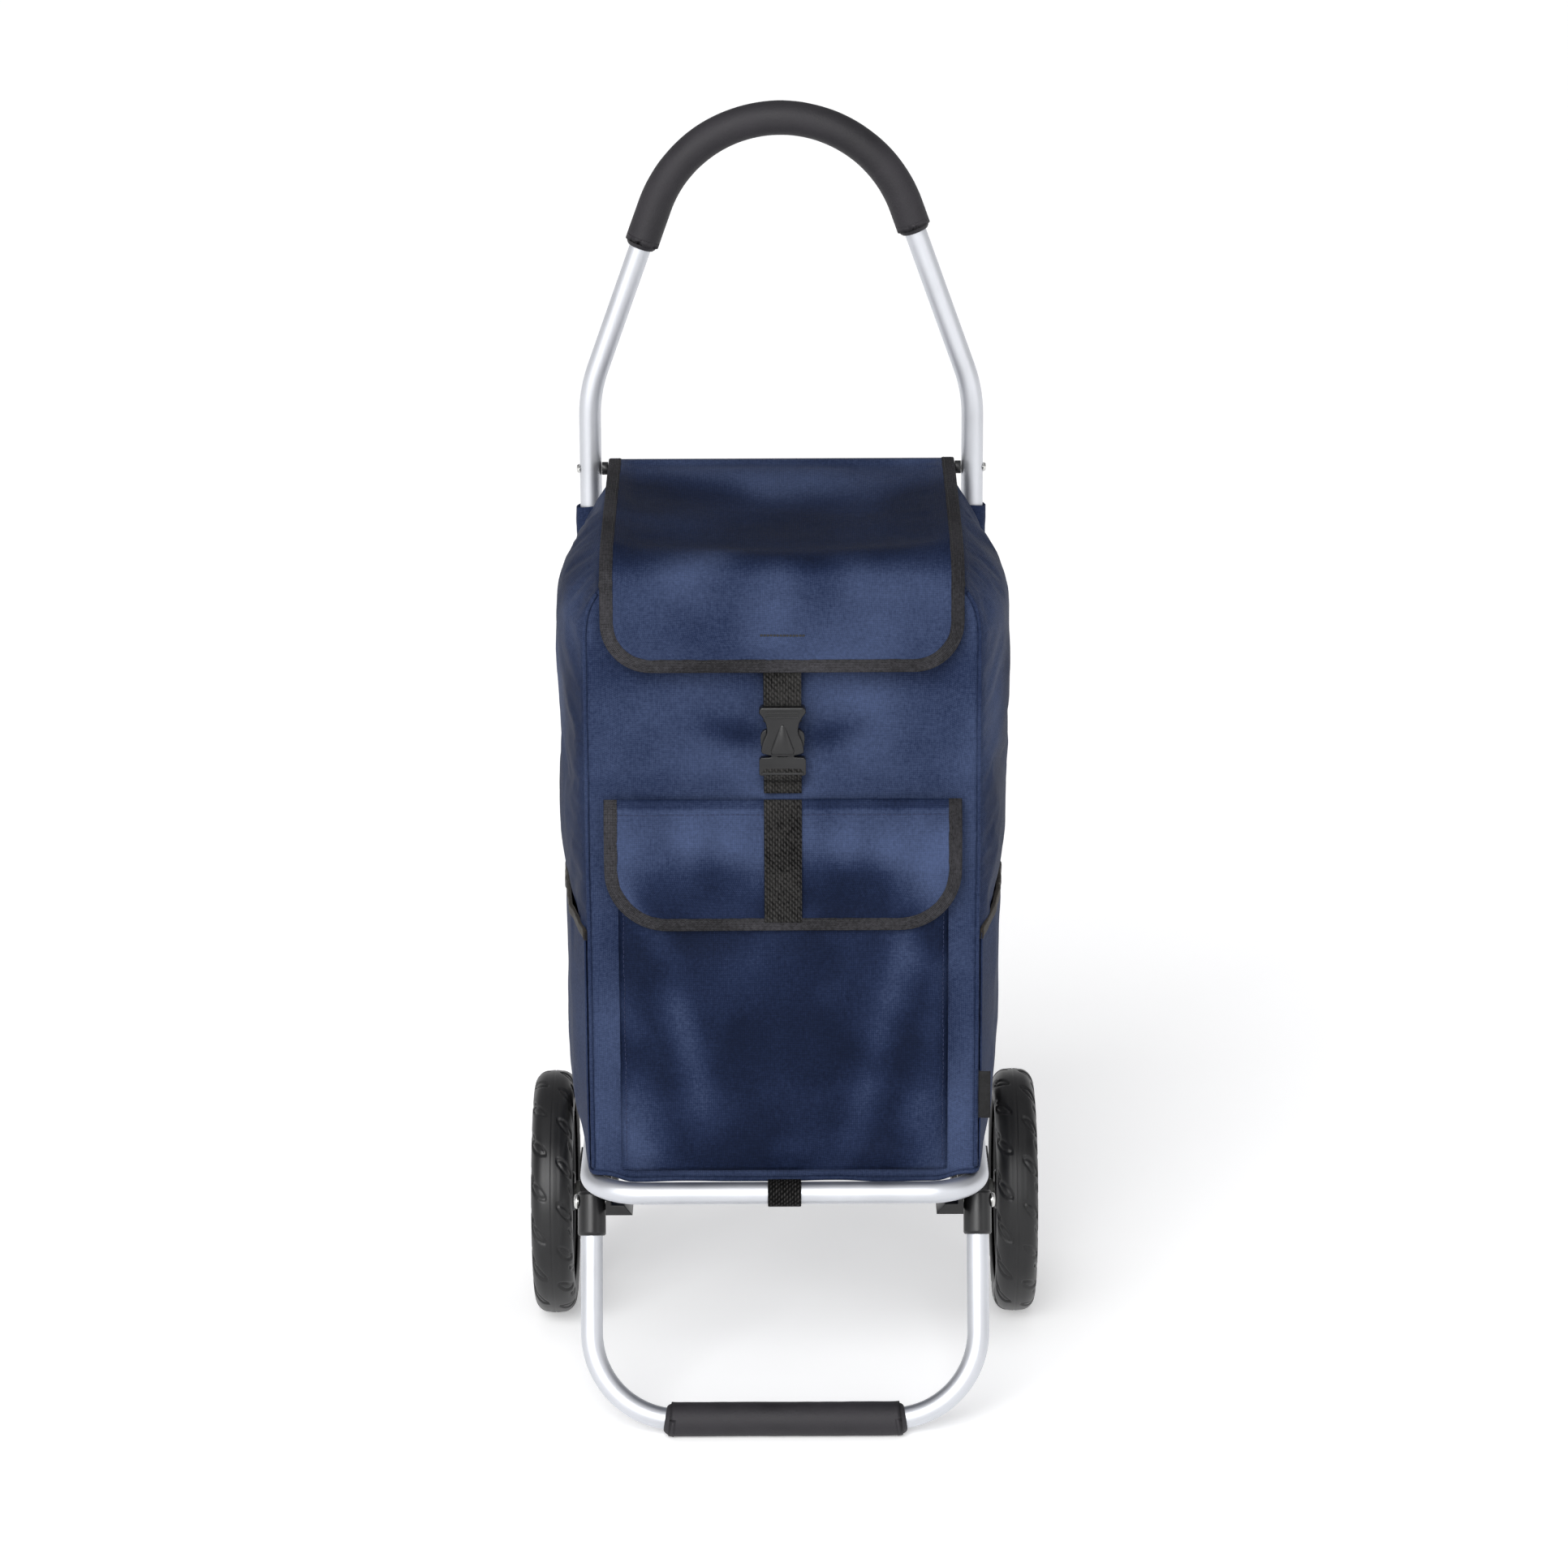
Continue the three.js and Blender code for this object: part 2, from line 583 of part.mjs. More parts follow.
// ---- stand ----
const standRun = Math.hypot(STAND_PIVOT_Y - STAND_FOOT_Y, STAND_PIVOT_Z - GRIP_R);
const standDown = vec(0, STAND_FOOT_Y - STAND_PIVOT_Y, GRIP_R - STAND_PIVOT_Z).normalize();
const standAcross = vec(1, 0, 0).cross(standDown).negate();

function stand() {
  const CORNER_PIECES = 10;
  const pivot = vec(-FRAME_X, STAND_PIVOT_Y, STAND_PIVOT_Z);
  const topInset = 1;
  const leg = standRun - STAND_CORNER_R + SLEEVE_ABOVE - topInset;
  const route = new Route(pivot.clone().addScaledVector(standDown, topInset - SLEEVE_ABOVE), standDown)
    .straight(leg)
    .bend(STAND_CORNER_R, 90, standAcross, CORNER_PIECES)
    .straight(2 * (FRAME_X - STAND_CORNER_R))
    .bend(STAND_CORNER_R, 90, standAcross, CORNER_PIECES)
    .straight(leg);
  const onPivot = (x) => vec(x, STAND_PIVOT_Y, STAND_PIVOT_Z);
  const boltHole = rod(onPivot(-WIDTH / 2), onPivot(WIDTH / 2), PIN_HOLE_R);
  add("stand_tube", cut(pipe(route, TUBE_R, TUBE_BORE_R), boltHole), ALUMINIUM);

  const wrap = 90 / CORNER_PIECES; // degrees of each corner that the grip covers
  const start = route.stations[CORNER_PIECES];
  const grip = new Route(start.point, start.heading)
    .bend(STAND_CORNER_R, wrap, standAcross, 1)
    .straight(2 * (FRAME_X - STAND_CORNER_R))
    .bend(STAND_CORNER_R, wrap, standAcross, 1);
  const options = { outward: vec(0, 0, -1), innerSides: 12, overFlats: true };
  add("stand_grip", pipe(grip, GRIP_R, GRIP_BORE_R + GAP, options), FOAM);

  for (const side of [-1, 1]) {
    const top = vec(side * FRAME_X, STAND_PIVOT_Y, STAND_PIVOT_Z).addScaledVector(standDown, -SLEEVE_ABOVE);
    const sleeve = new Route(top, standDown).straight(SLEEVE_ABOVE + SLEEVE_BELOW);
    const shell = pipe(sleeve, SLEEVE_R, TUBE_R + 0.6, { innerSides: 12 });
    add("stand_sleeve_" + sideName(side), cut(shell, boltHole), PLASTIC);
  }
}

// ---- bag ----
const LOW_BELLY = 5; // how far the sides swell at the base,
const POCKET_BELLY = 11; // beside the pockets,
const HIGH_BELLY = 20; // and above them
const TUCK_Z = 655; // where the sides start to draw in to the rim

/** How far out the side of the bag stands at depth y and height z. */
function bagSideX(y, z) {
  const { smoothstep, clamp } = THREE.MathUtils;
  const along = (y - BAG_FRONT_Y) / (BAG_BACK_Y - BAG_FRONT_Y);
  const seam = mix(BAG_FRONT_X, BAG_BACK_X, along);
  const rise = smoothstep(z, POCKET_TOP - 40, POCKET_TOP + 50);
  const low = mix(LOW_BELLY, POCKET_BELLY, smoothstep(z, BAG_BOTTOM, 320));
  const out = seam + mix(low, HIGH_BELLY, rise) * Math.sin(Math.PI * along) ** 0.8;
  const top = mix(BAG_FRONT_TOP, BAG_SIDE_TOP, along);
  const tuck = clamp((z - TUCK_Z) / (top - TUCK_Z), 0, 1) ** 3.2;
  const rim = mix(BAG_RIM_X + 3, BAG_RIM_X, Math.sin(Math.PI * along));
  return mix(out, rim, tuck);
}

/** The bag's four walls, its base and the board that stiffens the base. */
function bagPanels() {
  const wall = (yOuter, yInner, top, narrowing) =>
    slab(2, 8, (u, v, side) => {
      const z = mix(BAG_BOTTOM, top, v);
      const x = bagSideX(narrowing, z) * (2 * u - 1);
      return vec(x, side ? yInner : yOuter, z);
    });
  add("bag_front_panel", wall(BAG_FRONT_Y, BAG_FRONT_Y + FABRIC, BAG_FRONT_TOP, BAG_FRONT_Y), NYLON);
  add("bag_back_panel", wall(BAG_BACK_Y - FABRIC, BAG_BACK_Y, BAG_BACK_TOP, BAG_BACK_Y), NYLON);
  const seam = FABRIC + GAP;
  for (const way of [-1, 1]) {
    const panel = slab(8, 12, (u, v, side) => {
      const y = mix(BAG_FRONT_Y + seam, BAG_BACK_Y - seam, u);
      const top = mix(BAG_FRONT_TOP, BAG_SIDE_TOP, u);
      const z = mix(BAG_BOTTOM, top, v);
      return vec(way * (bagSideX(y, z) - side * FABRIC), y, z);
    });
    add("bag_side_" + sideName(way), panel, NYLON);
  }
  const inset = FABRIC + 1;
  const low = vec(-BAG_FRONT_X + inset, BAG_FRONT_Y + inset, BAG_BOTTOM);
  const high = vec(BAG_FRONT_X - inset, BAG_BACK_Y - inset, BAG_BOTTOM + FABRIC);
  add("bag_base_panel", block(low, high), NYLON);
  const BOARD_INSET = 9;
  const boardLow = vec(-BAG_FRONT_X + BOARD_INSET, BAG_FRONT_Y + BOARD_INSET - 1, high.z + GAP);
  const boardHigh = vec(BAG_FRONT_X - BOARD_INSET, BAG_BACK_Y - BOARD_INSET, boardLow.z + 3);
  add("bag_base_board", block(boardLow, boardHigh), PLASTIC);
}

/** The fabric sleeves that hold the bag's rear corners on the uprights. */
function uprightSleeves() {
  const SLEEVE_FOOT = 560;
  const SLEEVE_LENGTH = 155;
  const CLOTH_R = 12.9;
  for (const side of [-1, 1]) {
    const route = new Route(vec(side * FRAME_X, AXLE_Y, SLEEVE_FOOT), vec(0, 0, 1)).straight(SLEEVE_LENGTH);
    add("upright_sleeve_" + sideName(side), pipe(route, CLOTH_R, TUBE_R + 0.8, { innerSides: 12 }), NYLON);
  }
}

/** A shallow patch pocket: its two side edges lie on the bag and the middle stands off. */
function frontPocket() {
  const STAND_OFF = 11;
  const BOTTOM = BAG_BOTTOM + 6.5;
  const TOP = 502;
  const HALF = 128;
  const EDGE = 9;
  const columns = [-HALF - EDGE, -HALF, 0, HALF, HALF + EDGE];
  const last = columns.length - 1;
  const panel = slab(last, 1, (u, v, side) => {
    const column = Math.round(u * last);
    const atEdge = column === 0 || column === last;
    const face = BAG_FRONT_Y - (atEdge ? GAP + FABRIC : STAND_OFF);
    return vec(columns[column], face + side * FABRIC, mix(BOTTOM, TOP, v));
  });
  add("front_pocket_panel", panel, NYLON);
}

/** A pocket on each side, with a mouth that stands open and dips towards the front. */
function sidePockets() {
  const DIP = 19;
  const MOUTH = 6.4;
  const CLEAR = GAP + 0.6;
  const SKIN = 1.6; // half the thickness
  for (const way of [-1, 1]) {
    const pocket = slab(8, 4, (u, v, side) => {
      const y = mix(BAG_FRONT_Y + 4, BAG_BACK_Y - 20, u);
      const rim = mix(POCKET_TOP - DIP, POCKET_TOP, Math.sin(Math.PI * Math.min(u, 0.5)));
      const z = mix(BAG_BOTTOM + 6, rim, v);
      const open = MOUTH * Math.min(1, 4 * u, 4 * (1 - u));
      const straight = bagSideX(y, Math.min(z, POCKET_TOP - 40)) + CLEAR + open;
      const x = Math.max(straight, bagSideX(y, z) + CLEAR);
      return vec(way * (x + (1 - side) * SKIN), y, z);
    });
    add("side_pocket_" + sideName(way), pocket, NYLON);
  }
}

// ---- lid, flap, straps and buckle ----
/** A path in the (y, z) plane that a sheet follows, sampled at even distances. */
function foldPath(points, radius) {
  const path = new THREE.CurvePath();
  let from = points[0];
  for (let i = 1; i < points.length - 1; i++) {
    const corner = points[i];
    const back = corner.clone().sub(from).normalize();
    const on = points[i + 1].clone().sub(corner).normalize();
    const start = corner.clone().addScaledVector(back, -radius);
    const end = corner.clone().addScaledVector(on, radius);
    path.add(new THREE.LineCurve(from, start));
    path.add(new THREE.QuadraticBezierCurve(start, corner, end));
    from = end;
  }
  path.add(new THREE.LineCurve(from, points[points.length - 1]));
  return path;
}

/** A point on a folded sheet: x across, t along the path, depth in behind its outer face. */
function onSheet(path, x, t, depth) {
  const share = THREE.MathUtils.clamp(t / path.getLength(), 0, 1);
  const at = path.getPointAt(share);
  const along = path.getTangentAt(share);
  return vec(x, at.x - along.y * depth, at.y + along.x * depth);
}

/** Half the width of a sheet at t, with its two far corners rounded. */
function halfWidth(half, length, radius, t) {
  const into = Math.max(0, t - (length - radius));
  return half - radius + Math.sqrt(Math.max(0, radius * radius - into * into));
}

/** A sheet with a sewn binding round its sides and its far edge: two pieces. */
function boundSheet(path, half, radius, rows, boundDepth) {
  const length = path.getLength();
  const inset = BINDING_WIDTH + 0.8;
  const innerHalf = half - inset;
  const innerLength = length - inset;
  const innerRadius = radius - inset;
  const easedRow = (v) => Math.sin((v * Math.PI) / 2); // rows close up towards the rounded corners
  const panel = slab(2, rows, (u, v, side) => {
    const t = innerLength * (0.35 * v + 0.65 * easedRow(v));
    const x = Math.max(halfWidth(innerHalf, innerLength, innerRadius, t), 1) * (2 * u - 1);
    return onSheet(path, x, t, side * FABRIC);
  });
  const straightRows = rows;
  const cornerRows = 6;
  const stops = [];
  for (let i = 0; i <= straightRows; i++) stops.push([half, (i / straightRows) * (length - radius), 0]);
  for (let i = 1; i <= cornerRows; i++) {
    stops.push([half, length - radius, (i / cornerRows) * (Math.PI / 2)]);
  }
  const oneSide = stops.map(([x, t, angle]) => ({ x: x - radius, t, angle }));
  const outline = [
    ...oneSide.map((stop) => ({ ...stop, way: -1 })),
    ...oneSide.reverse().map((stop) => ({ ...stop, way: 1 })),
  ];
  const binding = slab(outline.length - 1, 1, (u, v, side) => {
    const { x, t, angle, way } = outline[Math.round(u * (outline.length - 1))];
    const reach = radius - v * BINDING_WIDTH;
    const across = way * (x + reach * Math.cos(angle));
    return onSheet(path, across, t + reach * Math.sin(angle), mix(-boundDepth, FABRIC + boundDepth, side));
  });
  return { panel, binding };
}

function strapSlab(top, bottom, standOff, thickness) {
  const outerY = BAG_FRONT_Y - standOff;
  return block(vec(-STRAP_X, outerY, bottom), vec(STRAP_X, outerY + thickness, top));
}

/** The lid: from the crossbar forwards over the mouth of the bag, and down its front. */
function lid() {
  const FOLD_R = 16;
  const outerY = BAG_FRONT_Y - 6.5;
  const points = [
    new THREE.Vector2(AXLE_Y + 3, CROSSBAR_Z + 6.6),
    new THREE.Vector2(40, CROSSBAR_Z + 5),
    new THREE.Vector2(outerY, BAG_FRONT_TOP + 11),
    new THREE.Vector2(outerY, LID_EDGE_Z),
  ];
  const { panel, binding } = boundSheet(foldPath(points, FOLD_R), LID_X, LID_CORNER_R, 14, 1);
  add("lid_panel", panel, NYLON);
  add("lid_binding", binding, WEBBING);
  add("lid_strap", strapSlab(LID_EDGE_Z + 24, BUCKLE_TOP - 21, 2.4, 1.8), WEBBING);
}

/** The pocket's flap: it leans out from its seam and then hangs straight. */
function flap() {
  const FOLD_R = 10;
  const points = [
    new THREE.Vector2(BAG_FRONT_Y - 4.5, FLAP_TOP),
    new THREE.Vector2(BAG_FRONT_Y - 16, FLAP_TOP - 28),
    new THREE.Vector2(BAG_FRONT_Y - 16.5, FLAP_EDGE_Z),
  ];
  const { panel, binding } = boundSheet(foldPath(points, FOLD_R), FLAP_X, FLAP_CORNER_R, 10, 1);
  add("pocket_flap_panel", panel, NYLON);
  add("pocket_flap_binding", binding, WEBBING);
  add("pocket_strap", strapSlab(FLAP_TOP - 29, FLAP_EDGE_Z + 12, 18.6, 1.7), WEBBING);
}

const BUCKLE_FRONT = BAG_FRONT_Y - 14.5;
const BUCKLE_BACK = BAG_FRONT_Y - 2.9;
const BUCKLE_X = 18.5; // half its width
const WAIST_X = 11.5;

/** The half of the buckle on the lid's strap: hollow, and open at the bottom and the back. */
function buckleSocket() {
  const shoulder = BUCKLE_X - 3;
  const outline = new THREE.Shape();
  outline.moveTo(-shoulder, BUCKLE_TOP);
  outline.lineTo(shoulder, BUCKLE_TOP);
  outline.quadraticCurveTo(BUCKLE_X, BUCKLE_TOP, BUCKLE_X, BUCKLE_TOP - 5);
  outline.quadraticCurveTo(WAIST_X, BUCKLE_TOP - 12, WAIST_X + 1, BUCKLE_TOP - 22);
  outline.quadraticCurveTo(shoulder, BUCKLE_TOP - 30, shoulder, BUCKLE_TOP - 36);
  outline.quadraticCurveTo(0, BUCKLE_TOP - 48, -shoulder, BUCKLE_TOP - 36);
  outline.quadraticCurveTo(-shoulder, BUCKLE_TOP - 30, -WAIST_X - 1, BUCKLE_TOP - 22);
  outline.quadraticCurveTo(-WAIST_X, BUCKLE_TOP - 12, -BUCKLE_X, BUCKLE_TOP - 5);
  outline.quadraticCurveTo(-BUCKLE_X, BUCKLE_TOP, -shoulder, BUCKLE_TOP);
  const hollowLow = vec(-10, BUCKLE_FRONT + 3, BUCKLE_BASE);
  const hollow = block(hollowLow, vec(10, BUCKLE_BACK + 5, BUCKLE_TOP - 14));
  add("buckle_socket", cut(facePlate(outline, BUCKLE_FRONT, BUCKLE_BACK, 5), hollow), PLASTIC);
}

/** The half with two prongs, which pulls down out of the socket. */
function bucklePlug() {
  const BASE_TOP = BUCKLE_BASE + 12;
  const PRONG_X = 9;
  const base = block(vec(-BUCKLE_X, BUCKLE_FRONT + 2, BUCKLE_BASE), vec(BUCKLE_X, BUCKLE_BACK, BASE_TOP));
  const prongs = new THREE.Shape();
  prongs.moveTo(-PRONG_X + 0.5, BASE_TOP - 2);
  prongs.lineTo(PRONG_X - 0.5, BASE_TOP - 2);
  prongs.lineTo(PRONG_X, BASE_TOP + 24);
  prongs.lineTo(PRONG_X - 4, BASE_TOP + 28);
  prongs.lineTo(PRONG_X - 5, BASE_TOP + 4);
  prongs.lineTo(5 - PRONG_X, BASE_TOP + 4);
  prongs.lineTo(4 - PRONG_X, BASE_TOP + 28);
  prongs.lineTo(-PRONG_X, BASE_TOP + 24);
  prongs.closePath();
  const bridge = facePlate(prongs, BUCKLE_FRONT + 4, BUCKLE_BACK);
  const reliefs = [-1, 1].map((side) => {
    const [x0, x1] = [side * (PRONG_X + 0.5), side * (BUCKLE_X + 1)].sort((a, b) => a - b);
    return block(vec(x0, BUCKLE_FRONT, BASE_TOP - 4), vec(x1, BUCKLE_BACK + 1, BASE_TOP + 1));
  });
  const slotLow = vec(-STRAP_X - 1, BUCKLE_FRONT - 1, BUCKLE_BASE + 3);
  const slot = block(slotLow, vec(STRAP_X + 1, BUCKLE_BACK + 1, BUCKLE_BASE + 6));
  add("buckle_plug", cut(join(base, bridge), ...reliefs, slot), PLASTIC);
  add("anchor_strap", strapSlab(BUCKLE_BASE + 9, FLAP_TOP + 3, 2.3, 1.7), WEBBING);
}

mainFrame();
crossbar();
axle();
wheels();
platformTube();
platformHinges();
standBrackets();
baseStrap();
stand();
bagPanels();
uprightSleeves();
frontPocket();
sidePockets();
lid();
flap();
buckleSocket();
bucklePlug();

export default trolley;
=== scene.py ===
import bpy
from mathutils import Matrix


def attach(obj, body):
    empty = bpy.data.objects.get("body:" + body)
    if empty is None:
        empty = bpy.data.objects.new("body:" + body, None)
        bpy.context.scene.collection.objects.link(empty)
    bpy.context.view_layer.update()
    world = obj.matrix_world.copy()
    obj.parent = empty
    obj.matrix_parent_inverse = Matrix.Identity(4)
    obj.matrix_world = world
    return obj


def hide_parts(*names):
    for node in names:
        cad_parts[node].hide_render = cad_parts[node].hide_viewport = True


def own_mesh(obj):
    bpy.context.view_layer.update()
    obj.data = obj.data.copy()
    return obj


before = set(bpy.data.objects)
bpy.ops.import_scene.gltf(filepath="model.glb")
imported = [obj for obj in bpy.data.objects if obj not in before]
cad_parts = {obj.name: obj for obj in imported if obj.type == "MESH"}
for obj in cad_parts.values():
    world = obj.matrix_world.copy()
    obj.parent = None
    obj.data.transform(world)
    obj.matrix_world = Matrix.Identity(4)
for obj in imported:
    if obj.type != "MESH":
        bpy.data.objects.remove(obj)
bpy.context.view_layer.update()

import math

import bmesh
import bpy
import numpy as np
from mathutils import Vector

# A two-wheeled shopping trolley: the looks of each piece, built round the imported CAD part.
# Shapes are worked out in millimetres in the part's own frame; MM turns them into metres.
# The front faces -Y. Names in _X are distances from the middle, in _Y depths, in _Z, _TOP and _BOTTOM
# heights, and in _R radii.
MM = 0.001

TUBE_R = 9
FRAME_X = 158
FRAME_FOOT_Z = 117
WHEEL_R = 104.6
TYRE_WIDTH = 35
WHEEL_X = 197.5
AXLE_Y = 95.4
GRIP_R = 14
ARCH_R = 109
LEAN = math.radians(19.8)
SHOULDER_BEND_R = 120
ARCH_Z = 927
CROSSBAR_Z = 745
PLATFORM_Z = 203
PLATFORM_FRONT_Y = -164.6
PLATFORM_CORNER_R = 43
FOLD_Y = 60
PLATFORM_TAIL = 14
STAND_PIVOT = np.array([0.0, -120.0, 179.0])
STAND_FOOT_Y = -186
STAND_CORNER_R = 71
BAG_BOTTOM = 215.5
BAG_FRONT_Y = -150
BAG_MIDDLE_Y = -34
BAG_BACK_Y = 82
BAG_FRONT_TOP = 704
BAG_SIDE_TOP = 737
BAG_BACK_TOP = 741
BAG_RIM_X = 140
BASE_X = 147
POCKET_X = 131.5
POCKET_BOTTOM = 219
POCKET_SEAM_Z = 503
SIDE_POCKET_TOP = 437
SLEEVE_BOTTOM = 560
SLEEVE_TOP = 715
LID_X = 143
LID_EDGE_Z = 640
LID_CORNER_R = 39
FLAP_X = 142
FLAP_TOP = 533
FLAP_EDGE_Z = 428
FLAP_CORNER_R = 49
SHEET_COLS = 81
TAPE_WIDTH = 9.6
STRAP_HALF = 15
STRAP_THICKNESS = 1.5
BUCKLE_TOP = 611
BUCKLE_BASE = 554
PULL_Z = 592  # the height that the creases round the buckle run to


# ---- numbers and shapes ----
def vec(*xyz):
    return np.array(xyz, float)


def unit(v):
    v = np.asarray(v, float)
    return v / np.linalg.norm(v, axis=-1, keepdims=True)


def mix(a, b, t):
    return a + (b - a) * t


def smoothstep(x, low, high):
    t = np.clip((x - low) / (high - low), 0, 1)
    return t * t * (3 - 2 * t)


def turn(v, axis, angle):
    axis = unit(axis)
    return (
        v * math.cos(angle)
        + np.cross(axis, v) * math.sin(angle)
        + axis * np.dot(axis, v) * (1 - math.cos(angle))
    )


def lattice(cell, seed):
    """A repeatable value from -1 to 1 for each whole-number corner."""
    x, y, z = (cell[..., k].astype(np.int64) for k in range(3))
    n = (x * 374761393 + y * 668265263 + z * 1440662683 + seed * 3266489917) & 0xFFFFFFFF
    n = ((n ^ (n >> 13)) * 1274126177) & 0xFFFFFFFF
    return ((n ^ (n >> 16)) & 0xFFFF) / 32767.5 - 1


def noise(points, size, seed=0):
    """Smooth noise from -1 to 1, with bumps about size millimetres apart."""
    p = np.asarray(points, float) / size
    cell = np.floor(p)
    f = p - cell
    f = f * f * f * (f * (f * 6 - 15) + 10)
    total = 0
    for corner in np.ndindex(2, 2, 2):
        share = np.where(corner, f, 1 - f)
        total = total + share[..., 0] * share[..., 1] * share[..., 2] * lattice(cell + corner, seed)
    return total


class Route:
    """A tube's route: straights and arcs, sampled closely."""

    def __init__(self, start, heading):
        self.points = [np.asarray(start, float)]
        self.headings = [unit(heading)]

    def straight(self, length, step=12.0):
        pieces = max(1, math.ceil(length / step))
        start, heading = self.points[-1], self.headings[-1]
        for i in range(1, pieces + 1):
            self.points.append(start + heading * length * i / pieces)
            self.headings.append(heading)
        return self

    def bend(self, radius, degrees, axis, step=3.0):
        pieces = max(1, math.ceil(degrees / step))
        start, heading = self.points[-1], self.headings[-1]
        centre = start + np.cross(axis, heading) * radius
        for i in range(1, pieces + 1):
            angle = math.radians(degrees) * i / pieces
            self.points.append(centre + turn(start - centre, axis, angle))
            self.headings.append(turn(heading, axis, angle))
        return self

    def arrays(self):
        return np.array(self.points), np.array(self.headings)


def circle(radius, sides):
    angles = np.arange(sides) * 2 * math.pi / sides
    return np.stack([radius * np.cos(angles), radius * np.sin(angles)], 1)


def distances(points):
    """Distance covered so far along a line of points."""
    return np.concatenate([[0], np.cumsum(np.linalg.norm(np.diff(points, axis=0), axis=1))])


def along_line(stops, far, line):
    """The points at some distances along a line, where far is its distances."""
    return np.stack([np.interp(stops, far, column) for column in np.transpose(line)], 1)


def section_rings(centre, section, across, facing):
    """A flat section of (across, facing) pairs set round each point of a line."""
    return centre[:, None] + section[None, :, :1] * across[:, None] + section[None, :, 1:] * facing[:, None]


def flat_spots(x, z):
    """Points to sample noise at, for a sheet that lies across x and z."""
    return np.stack([x, 0 * x, z], 2)


def lengths_along(points, axis):
    """Distance covered so far along one axis of a grid of points."""
    steps = np.linalg.norm(np.diff(points, axis=axis), axis=2)
    start = np.zeros_like(np.take(steps, [0], axis=axis))
    return np.concatenate([start, np.cumsum(steps, axis=axis)], axis=axis)


def linked(name, data):
    obj = bpy.data.objects.new(name, data)
    bpy.context.scene.collection.objects.link(obj)
    return obj


def object_from(name, points, faces, uvs=None):
    mesh = bpy.data.meshes.new(name)
    mesh.from_pydata((np.asarray(points, float) * MM).tolist(), [], faces)
    if uvs is not None:
        layer = mesh.uv_layers.new(name="UVMap")
        layer.data.foreach_set("uv", np.asarray(uvs, float).ravel())
    mesh.shade_smooth()
    return linked(name, mesh)


def grid_object(name, points, wrap=False, cap=False, flip=False):
    """A surface through a grid of points, with a UV map in metres."""
    rows, cols = points.shape[:2]
    faces, corners = [], []
    closed = np.concatenate([points, points[:, :1]], axis=1) if wrap else points
    u = lengths_along(closed, 1)
    v = lengths_along(closed, 0)
    last = cols if wrap else cols - 1
    for i in range(rows - 1):
        for j in range(last):
            ring = [(i, j), (i, j + 1), (i + 1, j + 1), (i + 1, j)]
            if flip:
                ring.reverse()
            faces.append([a * cols + b % cols for a, b in ring])
            corners += ring
    uvs = [(u[a, b] * MM, v[a, b] * MM) for a, b in corners]
    if cap:
        faces += [list(range(cols))[::-1], list(range((rows - 1) * cols, rows * cols))]
        uvs += 2 * [(u[0, k % (last + 1)] * MM, 0.0) for k in range(cols)]
    return object_from(name, points.reshape(-1, 3), faces, uvs)


def face_out(obj):
    bm = bmesh.new()
    bm.from_mesh(obj.data)
    bmesh.ops.recalc_face_normals(bm, faces=bm.faces)
    bm.to_mesh(obj.data)
    bm.free()
    return obj


def solid(name, rings, cap=True):
    """A shape from closed rings that faces out; cap closes its two ends."""
    return face_out(grid_object(name, rings, wrap=True, cap=cap))


def finish_piece(obj, material, body, replaces=()):
    obj.data.materials.clear()
    for one in material if isinstance(material, (list, tuple)) else [material]:
        obj.data.materials.append(one)
    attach(obj, body)
    if replaces:
        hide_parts(*replaces)
    return obj


def swept(path, headings, across, profile, scale):
    """Rings of profile along a path that lies in the plane square to across."""
    side = unit(np.cross(headings, across))
    factor = np.asarray(scale, float)[:, None, None]
    across = np.asarray(across, float)[None, None, :]
    return path[:, None, :] + profile[None, :, :1] * side[:, None, :] * factor + profile[None, :, 1:] * across * factor


def tube_rings(route, across, radius, ends, sides=32):
    """Rings of a round tube. ends lists (set back from the end, share of the radius), outermost last."""
    path, headings = route.arrays()
    before = [(path[0] + headings[0] * back, headings[0], share) for back, share in reversed(ends)]
    after = [(path[-1] - headings[-1] * back, headings[-1], share) for back, share in ends]
    first = ends[0][0]
    middle = [(p, h, 1.0) for p, h in zip(path, headings)]
    middle[0] = (path[0] + headings[0] * first, headings[0], 1.0)
    middle[-1] = (path[-1] - headings[-1] * first, headings[-1], 1.0)
    points, directions, shares = (np.array(column) for column in zip(*before, *middle, *after))
    return swept(points, directions, across, circle(radius, sides), shares)


def revolved(profile, y, z, sides=96):
    """A profile of (x, radius) turned round the line through (y, z) along X."""
    angles = np.arange(sides) * 2 * math.pi / sides
    x, radius = np.asarray(profile, float).T[:, :, None]
    return np.stack([x + 0 * angles, y + radius * np.cos(angles), z + radius * np.sin(angles)], 2)


def mirrored(profile, side, x0=0):
    """A profile drawn for the right-hand side, on either side."""
    return [(side * (x0 + x), radius) for x, radius in profile]


def bevelled(obj, width, segments=2, angle=32):
    mod = obj.modifiers.new("edges", "BEVEL")
    mod.width = width * MM
    mod.segments = segments
    mod.limit_method = "ANGLE"
    mod.angle_limit = math.radians(angle)
    mod.harden_normals = True
    return obj


def refined(node, material, body, width):
    """The CAD shape again with its edges softened."""
    obj = linked(node + "_moulded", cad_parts[node].data.copy())
    bm = bmesh.new()
    bm.from_mesh(obj.data)
    bmesh.ops.remove_doubles(bm, verts=bm.verts, dist=1e-5)
    bmesh.ops.dissolve_limit(bm, angle_limit=math.radians(1), verts=bm.verts, edges=bm.edges)
    bm.to_mesh(obj.data)
    bm.free()
    obj.data.shade_smooth()
    return finish_piece(bevelled(obj, width), material, body, [node])


